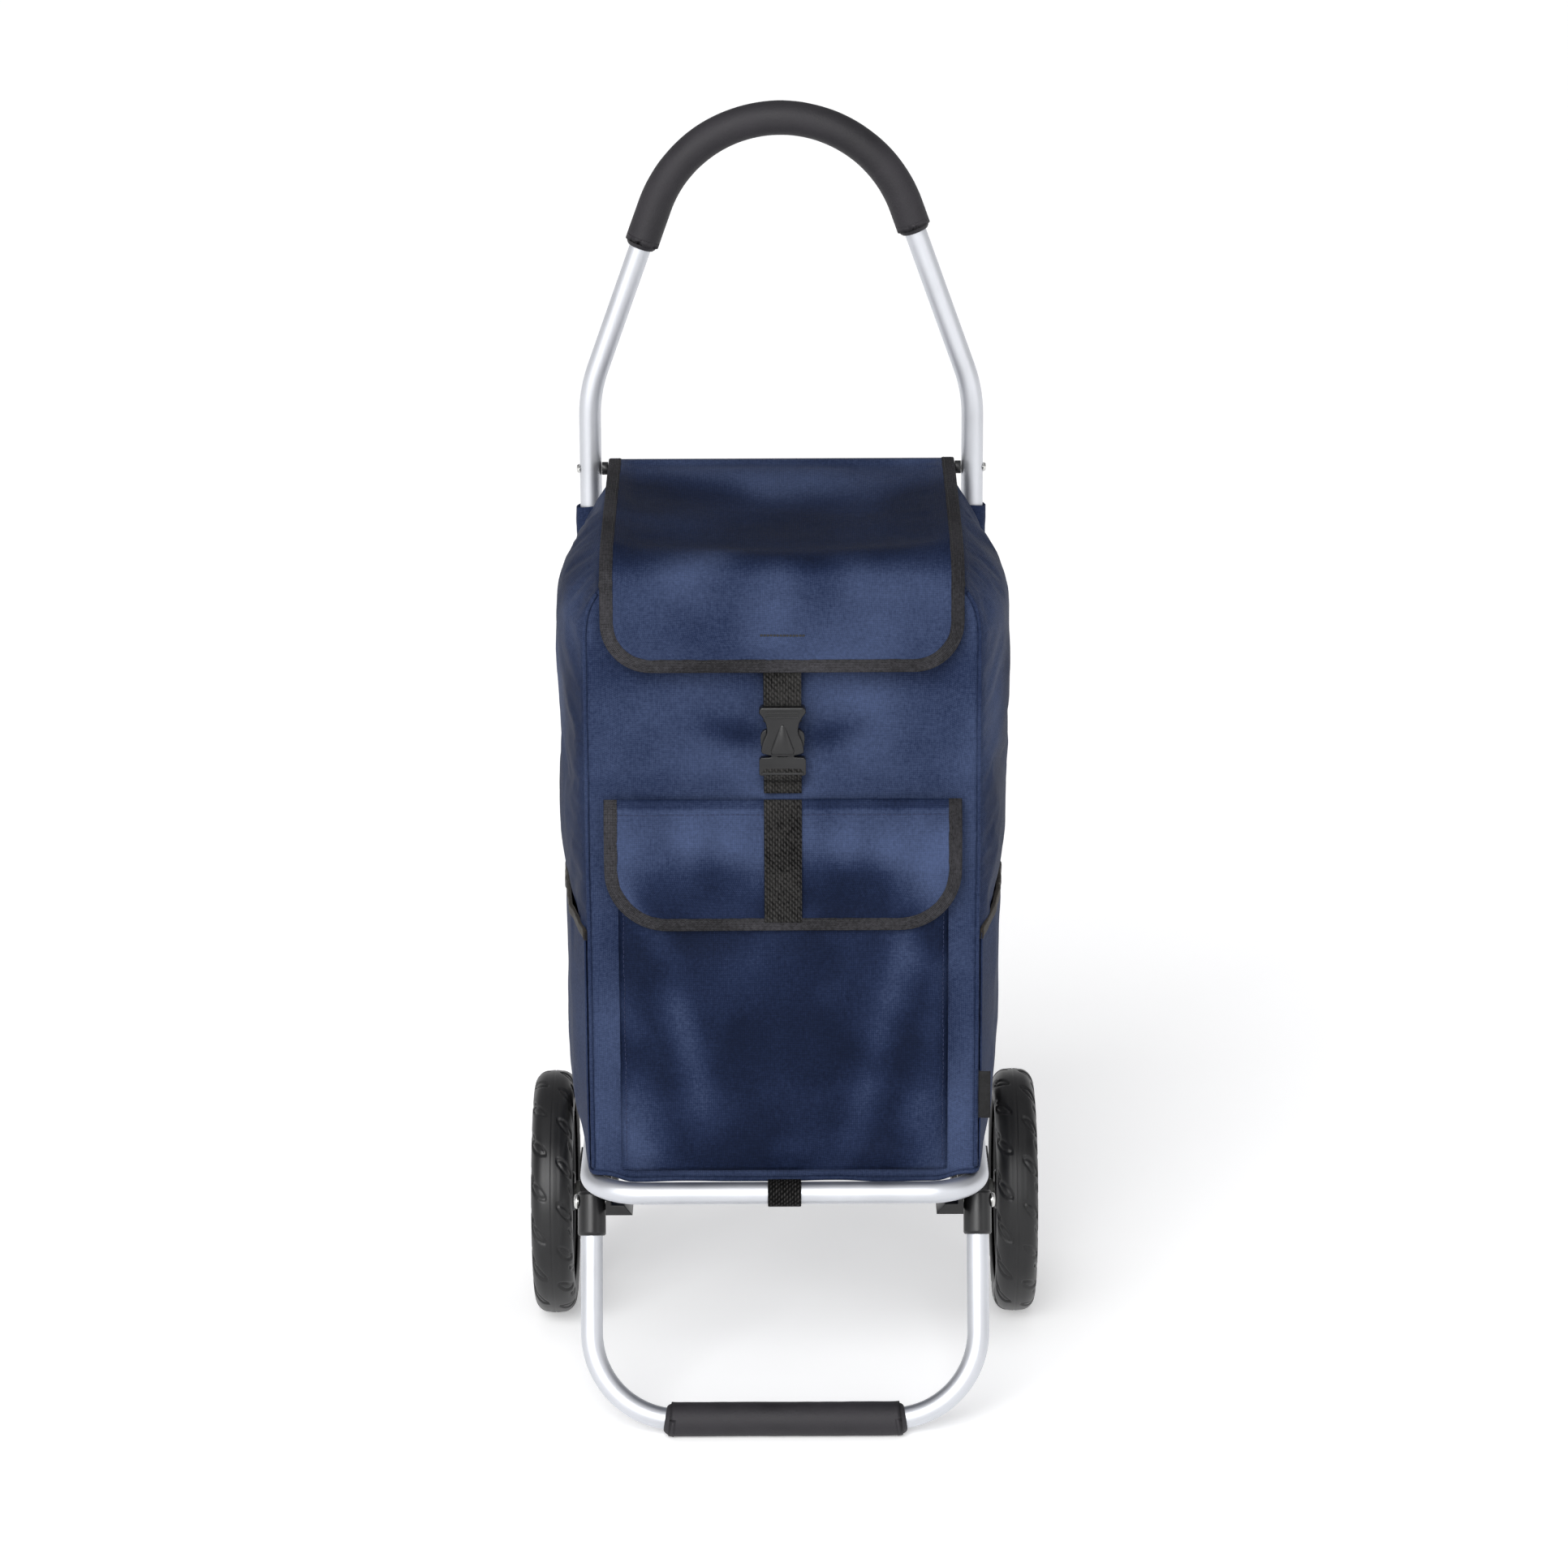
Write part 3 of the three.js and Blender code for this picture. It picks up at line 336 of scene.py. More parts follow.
def outline_plate(name, outline, y0, y1):
    """A flat outline of (x, z) points given thickness along Y."""
    n = len(outline)
    points = [(x, y0, z) for x, z in outline] + [(x, y1, z) for x, z in outline]
    faces = [list(range(n)), list(range(2 * n - 1, n - 1, -1))]
    faces += [[i, i + n, (i + 1) % n + n, (i + 1) % n] for i in range(n)]
    return face_out(object_from(name, points, faces))

def curve_points(start, steps, pieces=8):
    """An outline from straight steps (x, z) and curved ones (control x, z, end x, z)."""
    points = [start]
    for step in steps:
        if len(step) == 2:
            points.append(step)
            continue
        first, control, last = np.array(points[-1]), np.array(step[:2]), np.array(step[2:])
        for i in range(1, pieces + 1):
            t = i / pieces
            points.append(tuple((1 - t) ** 2 * first + 2 * t * (1 - t) * control + t * t * last))
    return points


# ---- materials ----
def new_material(name, colour, roughness, metallic=0.0, **sockets):
    made = bpy.data.materials.new(name)
    made.use_nodes = True
    shader = made.node_tree.nodes["Principled BSDF"]
    shader.inputs["Base Color"].default_value = (*colour, 1)
    shader.inputs["Roughness"].default_value = roughness
    shader.inputs["Metallic"].default_value = metallic
    for key, value in sockets.items():
        shader.inputs[key.replace("_", " ").title().replace("Ior", "IOR")].default_value = value
    return made, made.node_tree, shader


def add_node(tree, kind, output, settings=None, **inputs):
    """One output of a new node, whose inputs are values or the outputs of other nodes."""
    node = tree.nodes.new("ShaderNode" + kind)
    for key, value in (settings or {}).items():
        setattr(node, key, value)
    for key, value in inputs.items():
        connect(tree, value, node.inputs[key.replace("_", " ").title()])
    return node.outputs[output]


def connect(tree, value, socket):
    if isinstance(value, bpy.types.NodeSocket):
        tree.links.new(value, socket)
    else:
        socket.default_value = value


def coordinates(tree, kind, scale=(1, 1, 1)):
    return add_node(tree, "Mapping", "Vector", Vector=add_node(tree, "TexCoord", kind), Scale=scale)


def noise_node(tree, vector, scale, detail=3.0, roughness=0.5):
    return add_node(tree, "TexNoise", "Fac", Vector=vector, Scale=scale, Detail=detail, Roughness=roughness)


def ramp(tree, value, low, high):
    return add_node(tree, "MapRange", "Result", Value=value, From_Min=0.3, From_Max=0.7, To_Min=low, To_Max=high)


def wave(tree, vector, scale, direction):
    settings = {"wave_type": "BANDS", "bands_direction": direction}
    return add_node(tree, "TexWave", "Fac", settings, Vector=vector, Scale=scale, Distortion=0.0)


def colour_ramp(tree, value, stops):
    node = tree.nodes.new("ShaderNodeValToRGB")
    elements = node.color_ramp.elements
    while len(elements) < len(stops):
        elements.new(0.5)
    for element, (at, colour) in zip(elements, stops):
        element.position = at
        element.color = (*colour, 1)
    tree.links.new(value, node.inputs["Fac"])
    return node.outputs["Color"]


def maths(tree, operation, a, b):
    node = tree.nodes.new("ShaderNodeMath")
    node.operation = operation
    for socket, value in zip(node.inputs, (a, b)):
        connect(tree, value, socket)
    return node.outputs["Value"]


def dress(tree, shader, colour, rough, heights):
    """Links a colour, a roughness and bumps, a list of (height socket, millimetres), to a shader."""
    below = {}
    for height, distance in heights:
        below = {"Normal": add_node(tree, "Bump", "Normal", Height=height, Distance=distance * MM, **below)}
    for key, value in {"Base Color": colour, "Roughness": rough, **below}.items():
        tree.links.new(value, shader.inputs[key])


PAINTED_SHADING_SHARE = 0.19  # how far the painted shading, painted sheen and painted shade, moves the cloth's tone


def woven(name, dark, light, thread, roughness, sheen=0.0, twill=False, weave_depth=0.05, specular=0.22, painted_shading=False):
    """Cloth woven from threads that are thread millimetres apart, on the UV map in metres."""
    made, tree, shader = new_material(
        name, light, roughness, sheen_weight=sheen, sheen_roughness=0.45, specular_ior_level=specular
    )
    per_metre = 2 * math.pi / (20 * thread * MM)
    uv = coordinates(tree, "UV")
    place = coordinates(tree, "Object")
    across = wave(tree, uv, per_metre, "X")
    along = wave(tree, uv, per_metre, "DIAGONAL" if twill else "Y")
    weave = maths(tree, "MULTIPLY", across, along)
    cloudy = noise_node(tree, place, 11, 4)
    speckle = noise_node(tree, place, 420, 4, 0.65)
    warp = noise_node(tree, coordinates(tree, "UV", (1500, 70, 1)), 1.0, 2)
    weft = noise_node(tree, coordinates(tree, "UV", (70, 1500, 1)), 1.0, 2)
    shares = [(cloudy, 0.30), (weave, 0.18), (speckle, 0.30), (warp, 0.11), (weft, 0.11)]
    # painted shading: a vertex attribute that moves the tone towards the deep and pale stops, as painted shade and
    # painted sheen
    if painted_shading:
        shares.append((add_node(tree, "Attribute", "Fac", {"attribute_name": "painted_shading"}), PAINTED_SHADING_SHARE))
    tone = None
    for part, share in shares:
        scaled = maths(tree, "MULTIPLY", part, share)
        tone = scaled if tone is None else maths(tree, "ADD", tone, scaled)
    deep = [channel * 0.45 for channel in dark]
    pale = [channel * 1.9 for channel in light]
    stops = [(0.20, deep), (0.38, dark), (0.54, light), (0.76, pale)]
    rough = ramp(tree, cloudy, roughness - 0.05, roughness + 0.07)
    heights = [(weave, weave_depth), (speckle, weave_depth), (noise_node(tree, place, 45, 3), 0.5)]
    dress(tree, shader, colour_ramp(tree, tone, stops), rough, heights)
    return made


def moulded(name, colour, roughness, grain, depth):
    """Plastic, rubber or thread with a fine grain, grain per metre and depth millimetres deep."""
    made, tree, shader = new_material(name, colour, roughness, specular_ior_level=0.42)
    place = coordinates(tree, "Object")
    fine = noise_node(tree, place, grain, 3)
    broad = noise_node(tree, place, 25, 3)
    lighter = tuple(min(1, c * 1.7 + 0.004) for c in colour)
    rough = ramp(tree, broad, roughness - 0.06, roughness + 0.08)
    dress(tree, shader, colour_ramp(tree, broad, [(0.3, colour), (0.75, lighter)]), rough, [(fine, depth)])
    return made


def metal(name, colour, roughness, streak):
    """Satin metal with fine drawing lines along the tube."""
    made, tree, shader = new_material(name, colour, roughness, 1.0)
    lines = noise_node(tree, coordinates(tree, "UV", (1400, streak, 1)), 1.0, 3)
    cloudy = noise_node(tree, coordinates(tree, "Object"), 18, 3)
    darker = tuple(c * 0.9 for c in colour)
    rough = ramp(tree, cloudy, roughness - 0.03, roughness + 0.05)
    rough = maths(tree, "ADD", ramp(tree, lines, -0.04, 0.05), rough)
    dress(tree, shader, colour_ramp(tree, cloudy, [(0.3, darker), (0.6, colour)]), rough, [(lines, 0.008)])
    return made


def foam():
    """Closed-cell foam: matt, finely pitted, a little worn and dusty in places."""
    made, tree, shader = new_material("foam_grip_skin", (0.02, 0.018, 0.021), 0.62, specular_ior_level=0.42)
    place = coordinates(tree, "Object")
    cells = add_node(tree, "TexVoronoi", "Distance", Vector=place, Scale=900)
    broad = noise_node(tree, place, 30, 4)
    stops = [(0.3, (0.0095, 0.0085, 0.011)), (0.7, (0.0185, 0.0165, 0.0205))]
    heights = [(cells, 0.15), (noise_node(tree, place, 250, 3), 0.2)]
    dress(tree, shader, colour_ramp(tree, broad, stops), ramp(tree, broad, 0.55, 0.68), heights)
    return made


ALUMINIUM = metal("drawn_aluminium", (0.65, 0.665, 0.70), 0.46, 3)
STEEL = metal("zinc_plated_steel", (0.62, 0.62, 0.60), 0.3, 60)
NYLON = woven(
    "navy_oxford_nylon", (0.0105, 0.0175, 0.046), (0.033, 0.0465, 0.094), 1.1, 0.5,
    weave_depth=0.14, specular=0.03, painted_shading=True,
)
NYLON_LINING = woven("coated_lining", (0.006, 0.009, 0.022), (0.012, 0.017, 0.036), 0.9, 0.42)
BINDING = woven(
    "bound_tape", (0.010, 0.0098, 0.0108), (0.043, 0.042, 0.047), 1.3, 0.8, weave_depth=0.2, specular=0.1
)
WEBBING = woven(
    "herringbone_webbing", (0.002, 0.002, 0.002), (0.034, 0.033, 0.032), 2.2, 0.75,
    twill=True, weave_depth=0.45, specular=0.05,
)
ELASTIC = woven("ribbed_elastic", (0.012, 0.010, 0.009), (0.045, 0.038, 0.03), 1.2, 0.85, 0.1, weave_depth=0.15)
THREAD_NAVY = moulded("navy_thread", (0.010, 0.016, 0.05), 0.6, 3000, 0.05)
THREAD_BLACK = moulded("black_thread", (0.012, 0.012, 0.012), 0.65, 3000, 0.05)
PLASTIC = moulded("black_nylon_moulding", (0.006, 0.006, 0.0065), 0.32, 1400, 0.02)
PLASTIC_SATIN = moulded("black_satin_moulding", (0.012, 0.012, 0.013), 0.45, 1800, 0.03)
RUBBER = moulded("tyre_rubber", (0.0045, 0.0045, 0.005), 0.40, 1200, 0.03)
BUSH = moulded("grey_nylon", (0.18, 0.18, 0.17), 0.45, 1500, 0.02)
BOARD = moulded("grey_fibreboard", (0.045, 0.045, 0.048), 0.7, 500, 0.08)
LABEL = woven("woven_label", (0.004, 0.004, 0.004), (0.013, 0.013, 0.014), 0.5, 0.6, 0.05)
FOAM = foam()

# ---- tubes and grips ----
OPEN_END = [(0.4, 0.985), (0.0, 0.96), (0.0, 0.84), (12.0, 0.82)]
ROUND_END = [(9.0, 0.985), (4.5, 0.93), (1.8, 0.85), (0.4, 0.76), (0.0, 0.69), (6.0, 0.67)]
SOCKET_END = [(1.2, 0.985), (0.4, 0.95), (0.0, 0.9), (0.0, 0.8), (8.0, 0.795)]
FACING = vec(0, 1, 0)
LEVEL = vec(0, 0, 1)


def tube(name, route, across, body, node):
    obj = solid(name, tube_rings(route, across, TUBE_R, OPEN_END))
    return finish_piece(obj, ALUMINIUM, body, [node])


def foam_grip(name, route, across, body, node, seed):
    rings = tube_rings(route, across, GRIP_R, ROUND_END, 40)
    centre = rings.mean(axis=1, keepdims=True)
    swell = 1 + 0.012 * noise(rings, 34, seed) + 0.006 * noise(rings, 9, seed + 1)
    swell[:3] = swell[-3:] = 1
    obj = solid(name, centre + (rings - centre) * swell[..., None])
    finish_piece(obj, FOAM, body, [node])


def bow(start, heading, leg, radius, across):
    """A route down one leg, across between the two uprights, and back up the other leg."""
    middle = 2 * (FRAME_X - radius)
    half_way = Route(start, heading).straight(leg).bend(radius, 90, across).straight(middle)
    return half_way.bend(radius, 90, across).straight(leg)


slope_length = (FRAME_X - SHOULDER_BEND_R * (1 - math.cos(LEAN)) - ARCH_R * math.cos(LEAN)) / math.sin(LEAN)
shoulder_z = ARCH_Z + (ARCH_R - SHOULDER_BEND_R) * math.sin(LEAN) - slope_length * math.cos(LEAN)
lean_degrees = math.degrees(LEAN)
frame_route = (
    Route((-FRAME_X, AXLE_Y, FRAME_FOOT_Z), (0, 0, 1))
    .straight(shoulder_z - FRAME_FOOT_Z)
    .bend(SHOULDER_BEND_R, lean_degrees, FACING)
    .straight(slope_length)
    .bend(ARCH_R, 180 - 2 * lean_degrees, FACING)
    .straight(slope_length)
    .bend(SHOULDER_BEND_R, lean_degrees, FACING)
    .straight(shoulder_z - FRAME_FOOT_Z)
)
tube("frame_tube", frame_route, FACING, "frame", "main_frame_tube")

arch_left = vec(-ARCH_R * math.cos(LEAN), AXLE_Y, ARCH_Z + ARCH_R * math.sin(LEAN))
up_slope = vec(math.sin(LEAN), 0, math.cos(LEAN))
GRIP_LEFT_TAIL, GRIP_RIGHT_TAIL = 36, 23
handle_route = (
    Route(arch_left - up_slope * GRIP_LEFT_TAIL, up_slope)
    .straight(GRIP_LEFT_TAIL, 4)
    .bend(ARCH_R, 180 - 2 * lean_degrees, FACING, 2.5)
    .straight(GRIP_RIGHT_TAIL, 4)
)
foam_grip("handle_foam", handle_route, FACING, "frame", "handle_grip", 3)

platform_run = FOLD_Y + PLATFORM_TAIL - PLATFORM_FRONT_Y - PLATFORM_CORNER_R
platform_end = (-FRAME_X, FOLD_Y + PLATFORM_TAIL, PLATFORM_Z)
platform_route = bow(platform_end, -FACING, platform_run, PLATFORM_CORNER_R, LEVEL)
tube("platform_bow", platform_route, LEVEL, "platform", "platform_tube")

foot = vec(0, STAND_FOOT_Y, GRIP_R)
stand_down = unit(foot - STAND_PIVOT)
stand_across = -np.cross(vec(1, 0, 0), stand_down)
LEG_ABOVE_PIVOT = 7
leg = np.linalg.norm(foot - STAND_PIVOT) - STAND_CORNER_R + LEG_ABOVE_PIVOT
leg_top = STAND_PIVOT + vec(-FRAME_X, 0, 0) - stand_down * LEG_ABOVE_PIVOT
stand_route = bow(leg_top, stand_down, leg, STAND_CORNER_R, stand_across)
tube("stand_bow", stand_route, stand_across, "stand", "stand_tube")

GRIP_TURN = 9  # degrees of each corner that the stand's grip covers
corner_end = Route(leg_top + stand_down * leg, stand_down).bend(STAND_CORNER_R, 90 - GRIP_TURN, stand_across)
stand_grip_route = (
    Route(corner_end.points[-1], corner_end.headings[-1])
    .bend(STAND_CORNER_R, GRIP_TURN, stand_across)
    .straight(2 * (FRAME_X - STAND_CORNER_R), 6)
    .bend(STAND_CORNER_R, GRIP_TURN, stand_across)
)
foam_grip("stand_foam", stand_grip_route, stand_across, "stand", "stand_grip", 11)

# ---- wheels ----
TYRE_SIDES = 480
GROOVE_REPEATS = 17
GROOVE_ROWS = ((1.0, 4.5, 17.0, 0.0), (0.7, 16.0, 12.0, 0.42))  # size, start, span, share of the pitch
RIM_PROFILE = [
    (-13, 79.4), (-13.6, 77.6), (-12.6, 76), (-9, 75), (-7.5, 72.6), (7.5, 72.6), (9, 75), (12.6, 76),
    (13.6, 77.6), (13, 79.4), (-13, 79.4),
]
HUB_PROFILE = [
    (-15.5, 7), (-16, 15.5), (-15, 17), (-9, 17.6), (-7.6, 22.6), (-6.6, 23.6), (6.6, 23.6), (7.6, 22.6),
    (6.5, 18), (6.2, 17), (6.4, 7), (-15.5, 7),
]
HUB_FACE_X = 204.3
HUB_COVER = [
    (0, 10), (0, 16.4), (0.6, 17), (2, 17), (5.2, 15.8), (6.2, 14.4),
    (6.4, 12), (5.6, 11.2), (6.2, 10.2), (8.4, 8), (9.4, 4), (9.6, 0.05),
]
# distance from the axle, half width, thickness
SPOKE_STATIONS = [(14, 8.2, 13), (20, 7.0, 12), (34, 5.6, 10), (52, 5.4, 9.4), (66, 6.4, 10), (75, 9.5, 12)]
SPOKE_SECTION = [
    (-1, -0.5), (-0.92, 0.42), (-0.78, 0.5), (-0.3, 0.47), (-0.18, 0.34), (0.18, 0.34),
    (0.3, 0.47), (0.78, 0.5), (0.92, 0.42), (1, -0.5), (0.86, -0.56), (-0.86, -0.56),
]


def tyre_profile():
    """The tyre's section from bead to bead, as (x, radius)."""
    half, shoulder = TYRE_WIDTH / 2, 12.0
    tread = [(-half + 2, 80), (-half + 0.6, 81), (-half, 83.5), (-half, 87), (-half, 90.5)]
    for angle in np.radians(np.arange(0, 91, 5)):
        tread.append((-half + shoulder * (1 - math.cos(angle)), WHEEL_R - 13.5 + 13.0 * math.sin(angle)))
    flat = [(x, WHEEL_R - 0.5 + 0.5 * math.cos(x / 5.5 * math.pi / 2)) for x in np.linspace(-4.7, 4.7, 13)]
    return np.array(tread + flat + [(-x, r) for x, r in reversed(tread)])


def groove_depth(arc):
    """Depth of the centre line and of the leaf-shaped grooves, where arc is the distance from the middle."""
    theta = np.arange(TYRE_SIDES)[None] * 2 * math.pi / TYRE_SIDES
    pitch = 2 * math.pi * WHEEL_R / GROOVE_REPEATS
    depth = np.clip(1 - np.abs(arc[:, None]) / 0.8, 0, 1) * 0.5 + 0 * theta
    for hand in (-1, 1):
        for size, start, span, offset in GROOVE_ROWS:
            phase = (theta * GROOVE_REPEATS / (2 * math.pi) + offset + (0.5 if hand > 0 else 0)) % 1
            along = (hand * arc[:, None] - start) / span
            lean_in = 0.5 + 0.34 * (along - 0.5) * hand
            half_leaf = 0.115 * size * np.sin(np.clip(along, 0, 1) * math.pi) ** 0.8
            distance = np.abs(phase - lean_in)
            outline = np.clip(1.9 - np.abs(distance - half_leaf) * pitch, 0, 1) * 1.4
            leaf = np.maximum(outline, np.where(distance < half_leaf, 0.5, 0))
            depth = np.maximum(depth, np.where((along > 0) & (along < 1), leaf, 0))
    return depth


def tyre_rings(side):
    """A tyre whose shoulders carry leaf-shaped grooves in pairs all the way round."""
    profile = tyre_profile()
    arc = distances(profile)
    arc -= arc[-1] / 2
    rings = revolved(profile + np.array([side * WHEEL_X, 0]), AXLE_Y, WHEEL_R, TYRE_SIDES)
    radial = rings - np.array([0, AXLE_Y, WHEEL_R])
    radial[..., 0] = 0
    tangent = np.gradient(profile, axis=0)
    outward = unit(np.stack([-tangent[:, 1], tangent[:, 0]], 1))
    outward *= np.sign(outward[len(outward) // 2, 1])
    normal = unit(radial) * outward[:, None, 1:]
    normal[..., 0] = outward[:, None, 0]
    return rings - normal * groove_depth(arc)[..., None]


def spoke(angle, side):
    """One moulded spoke with a shallow channel down its face, as a closed grid of rings."""
    r, half, thick = np.array(SPOKE_STATIONS).T[:, :, None]
    a, b = np.array(SPOKE_SECTION).T[:, None]
    x = side * (WHEEL_X - 1 + b * thick)
    y = AXLE_Y + r * math.cos(angle) - a * half * math.sin(angle)
    z = WHEEL_R + r * math.sin(angle) + a * half * math.cos(angle)
    return np.stack([x, y, z], 2)


def merged(name, parts):
    """One object from several closed grids."""
    objects = [grid_object(name + str(i), p, wrap=True, cap=c) for i, (p, c) in enumerate(parts)]
    bm = bmesh.new()
    for obj in objects:
        bm.from_mesh(obj.data)
    bmesh.ops.recalc_face_normals(bm, faces=bm.faces)
    mesh = objects[0].data.copy()
    bm.to_mesh(mesh)
    bm.free()
    for obj in objects:
        bpy.data.objects.remove(obj)
    mesh.name = name
    mesh.shade_smooth()
    return linked(name, mesh)


def wheel(side, name):
    body = "wheel_" + name
    tyre = solid("tyre_tread_" + name, tyre_rings(side), cap=False)
    finish_piece(tyre, RUBBER, body, ["tyre_" + name])
    parts = [
        (revolved(mirrored(RIM_PROFILE, side, WHEEL_X), AXLE_Y, WHEEL_R), False),
        (revolved(mirrored(HUB_PROFILE, side, WHEEL_X), AXLE_Y, WHEEL_R, 64), False),
    ]
    parts += [(spoke(math.radians(90 + 72 * k), side), True) for k in range(5)]
    rim = bevelled(merged("rim_spokes_" + name, parts), 0.5, 1, 40)
    finish_piece(rim, PLASTIC_SATIN, body, ["rim_" + name])
    cap = solid("hub_cover_" + name, revolved(mirrored(HUB_COVER, side, HUB_FACE_X), AXLE_Y, WHEEL_R, 64))
    finish_piece(cap, PLASTIC, body, ["hub_cap_" + name])


for side, name in ((-1, "left"), (1, "right")):
    wheel(side, name)

# ---- brackets, pins, bolts ----
SOFTENED = [
    ("axle_bracket_", PLASTIC_SATIN, "black_plastic", "frame", 1.0),
    ("platform_hinge_", PLASTIC_SATIN, "black_plastic", "frame", 0.7),
    ("stand_bracket_", PLASTIC, "black_plastic", "platform", 0.7),
    ("stand_nut_", STEEL, "zinc_steel", "platform", 0.3),
    ("crossbar_bracket_", PLASTIC, "black_plastic", "frame", 0.3),
    ("crossbar_screw_", STEEL, "zinc_steel", "frame", 0.2),
]
STAND_BOLT = [
    (134.5, 0.05), (134.5, 2.6), (135, 3), (169.8, 3), (169.8, 6), (171, 6), (172.1, 5.2), (172.6, 3.4),
    (172.8, 0.05),
]
PLATFORM_PIN = [
    (142.2, 0.05), (142.3, 3), (142.8, 4.6), (144.2, 5.5), (144.2, 3), (171.8, 3), (171.8, 5.5), (173, 4.8),
    (173.7, 3), (173.8, 0.05),
]
SPACER = [(176.3, 4.6), (176.3, 8.4), (176.8, 9), (180.2, 9), (180.7, 8.4), (180.7, 4.6), (176.3, 4.6)]

for side, name in ((-1, "left"), (1, "right")):
    for node, material, slot, body, width in SOFTENED:
        refined(node + name, material, body, width)

    sleeve = Route(STAND_PIVOT + vec(side * FRAME_X, 0, 0) - stand_down * 8, stand_down).straight(36, 3)
    obj = solid("stand_socket_" + name, tube_rings(sleeve, stand_across, 11.5, SOCKET_END, 40))
    finish_piece(obj, PLASTIC, "stand", ["stand_sleeve_" + name])

    for node, body, y, z, profile in (
        ("stand_bolt_", "platform", STAND_PIVOT[1], STAND_PIVOT[2], STAND_BOLT),
        ("platform_pin_", "frame", FOLD_Y, PLATFORM_Z, PLATFORM_PIN),
    ):
        obj = solid(node + "turned_" + name, revolved(mirrored(profile, side), y, z, 32))
        finish_piece(bevelled(obj, 0.2, 1), STEEL, body, [node + name])

    obj = solid("axle_washer_" + name, revolved(mirrored(SPACER, side), AXLE_Y, WHEEL_R, 40), cap=False)
    finish_piece(obj, BUSH, "frame", ["axle_spacer_" + name])
    for node, material in (("axle_clip_", STEEL), ("wheel_bush_", BUSH)):
        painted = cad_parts[node + name].data.materials
        painted.clear()
        painted.append(material)

for node, radius, half, z in (("axle_rod", 4, 207.5, WHEEL_R), ("crossbar_rod", 2.5, 146.7, CROSSBAR_Z)):
    profile = [
        (-half, 0.05), (-half, radius - 0.6), (-half + 0.6, radius), (half - 0.6, radius), (half, radius - 0.6),
        (half, 0.05),
    ]
    obj = solid(node + "_turned", revolved(profile, AXLE_Y, z, 32))
    finish_piece(bevelled(obj, 0.15, 1), STEEL, "frame", [node])


# ---- cloth helpers ----
SETTLE_FRAMES = 24
CLOTH_SETTINGS = {
    "quality": 6, "mass": 0.2, "tension_stiffness": 25, "compression_stiffness": 20, "shear_stiffness": 12,
    "bending_stiffness": 0.6, "tension_damping": 15, "compression_damping": 15, "shear_damping": 15,
}
CLOTH = [NYLON, NYLON_LINING]


def settle(obj, sewn, slack, cap, pressure=0.0, gravity=0.0, share=1.0):
    """Lets a cloth that is sewn down at some points, and a little too big, find its own creases."""
    scene = bpy.context.scene
    rest = coords(obj) * MM
    group = obj.vertex_groups.new(name="sewn")
    for index, weight in enumerate(np.ravel(sewn)):
        if weight > 0:
            group.add([index], float(weight), "REPLACE")
    mod = obj.modifiers.new("settle", "CLOTH")
    cloth = mod.settings
    for key, value in CLOTH_SETTINGS.items():
        setattr(cloth, key, value)
    cloth.vertex_group_mass = "sewn"
    cloth.shrink_min = -slack
    cloth.effector_weights.gravity = gravity
    if pressure:
        cloth.use_pressure = True
        cloth.uniform_pressure_force = pressure
    mod.collision_settings.use_collision = False
    mod.point_cache.frame_start = 1
    mod.point_cache.frame_end = SETTLE_FRAMES
    for frame_number in range(1, SETTLE_FRAMES + 1):
        scene.frame_set(frame_number)
    ready = obj.evaluated_get(bpy.context.evaluated_depsgraph_get())
    move = np.array([v.co for v in ready.data.vertices]) - rest
    obj.modifiers.remove(mod)
    obj.vertex_groups.clear()
    scene.frame_set(1)
    length = np.linalg.norm(move, axis=1, keepdims=True) + 1e-12
    move *= np.minimum(length, cap * MM * np.tanh(length / (cap * MM))) / length
    set_coords(obj, (rest + move * np.reshape(share, (-1, 1))) / MM)
    obj.data.update()


def coords(obj, shape=(-1, 3)):
    return np.array([v.co for v in obj.data.vertices]).reshape(shape) / MM


def set_coords(obj, points):
    obj.data.vertices.foreach_set("co", (points * MM).ravel())


def thick(obj, amount, offset=-1.0, inner_material=0):
    mod = obj.modifiers.new("cloth", "SOLIDIFY")
    mod.thickness = amount * MM
    mod.offset = offset
    mod.material_offset = inner_material
    mod.use_even_offset = True
    return obj


def crumples(obj):
    """Bakes the piece's modifiers into its own mesh."""
    if obj.modifiers:
        ready = obj.evaluated_get(bpy.context.evaluated_depsgraph_get())
        mesh = bpy.data.meshes.new_from_object(ready)
        obj.modifiers.clear()
        obj.data = mesh
    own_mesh(obj)
    return obj


def bag_piece(obj, material, body, replaces=()):
    """A finished piece, with its modifiers baked into its own mesh."""
    return crumples(finish_piece(obj, material, body, replaces))


def ribbon_rings(centre, across, half, normal=None):
    """Rings of a flat strap along centre, with its width along across."""
    centre = np.asarray(centre, float)
    across = unit(np.broadcast_to(across, centre.shape))
    along = unit(np.gradient(centre, axis=0))
    facing = unit(np.cross(across, along)) if normal is None else np.broadcast_to(normal, centre.shape)
    t = STRAP_THICKNESS / 2
    section = [(-half, -t * 0.4), (-half, t * 0.4), (-half + 0.7, t)]
    section += [(x, t) for x in np.linspace(-half + 2, half - 2, 9)]
    section += [(half - 0.7, t), (half, t * 0.4), (half, -t * 0.4), (half - 0.7, -t)]
    section += [(x, -t) for x in np.linspace(half - 2, -half + 2, 9)] + [(-half + 0.7, -t)]
    return section_rings(centre, np.array(section), across, facing)


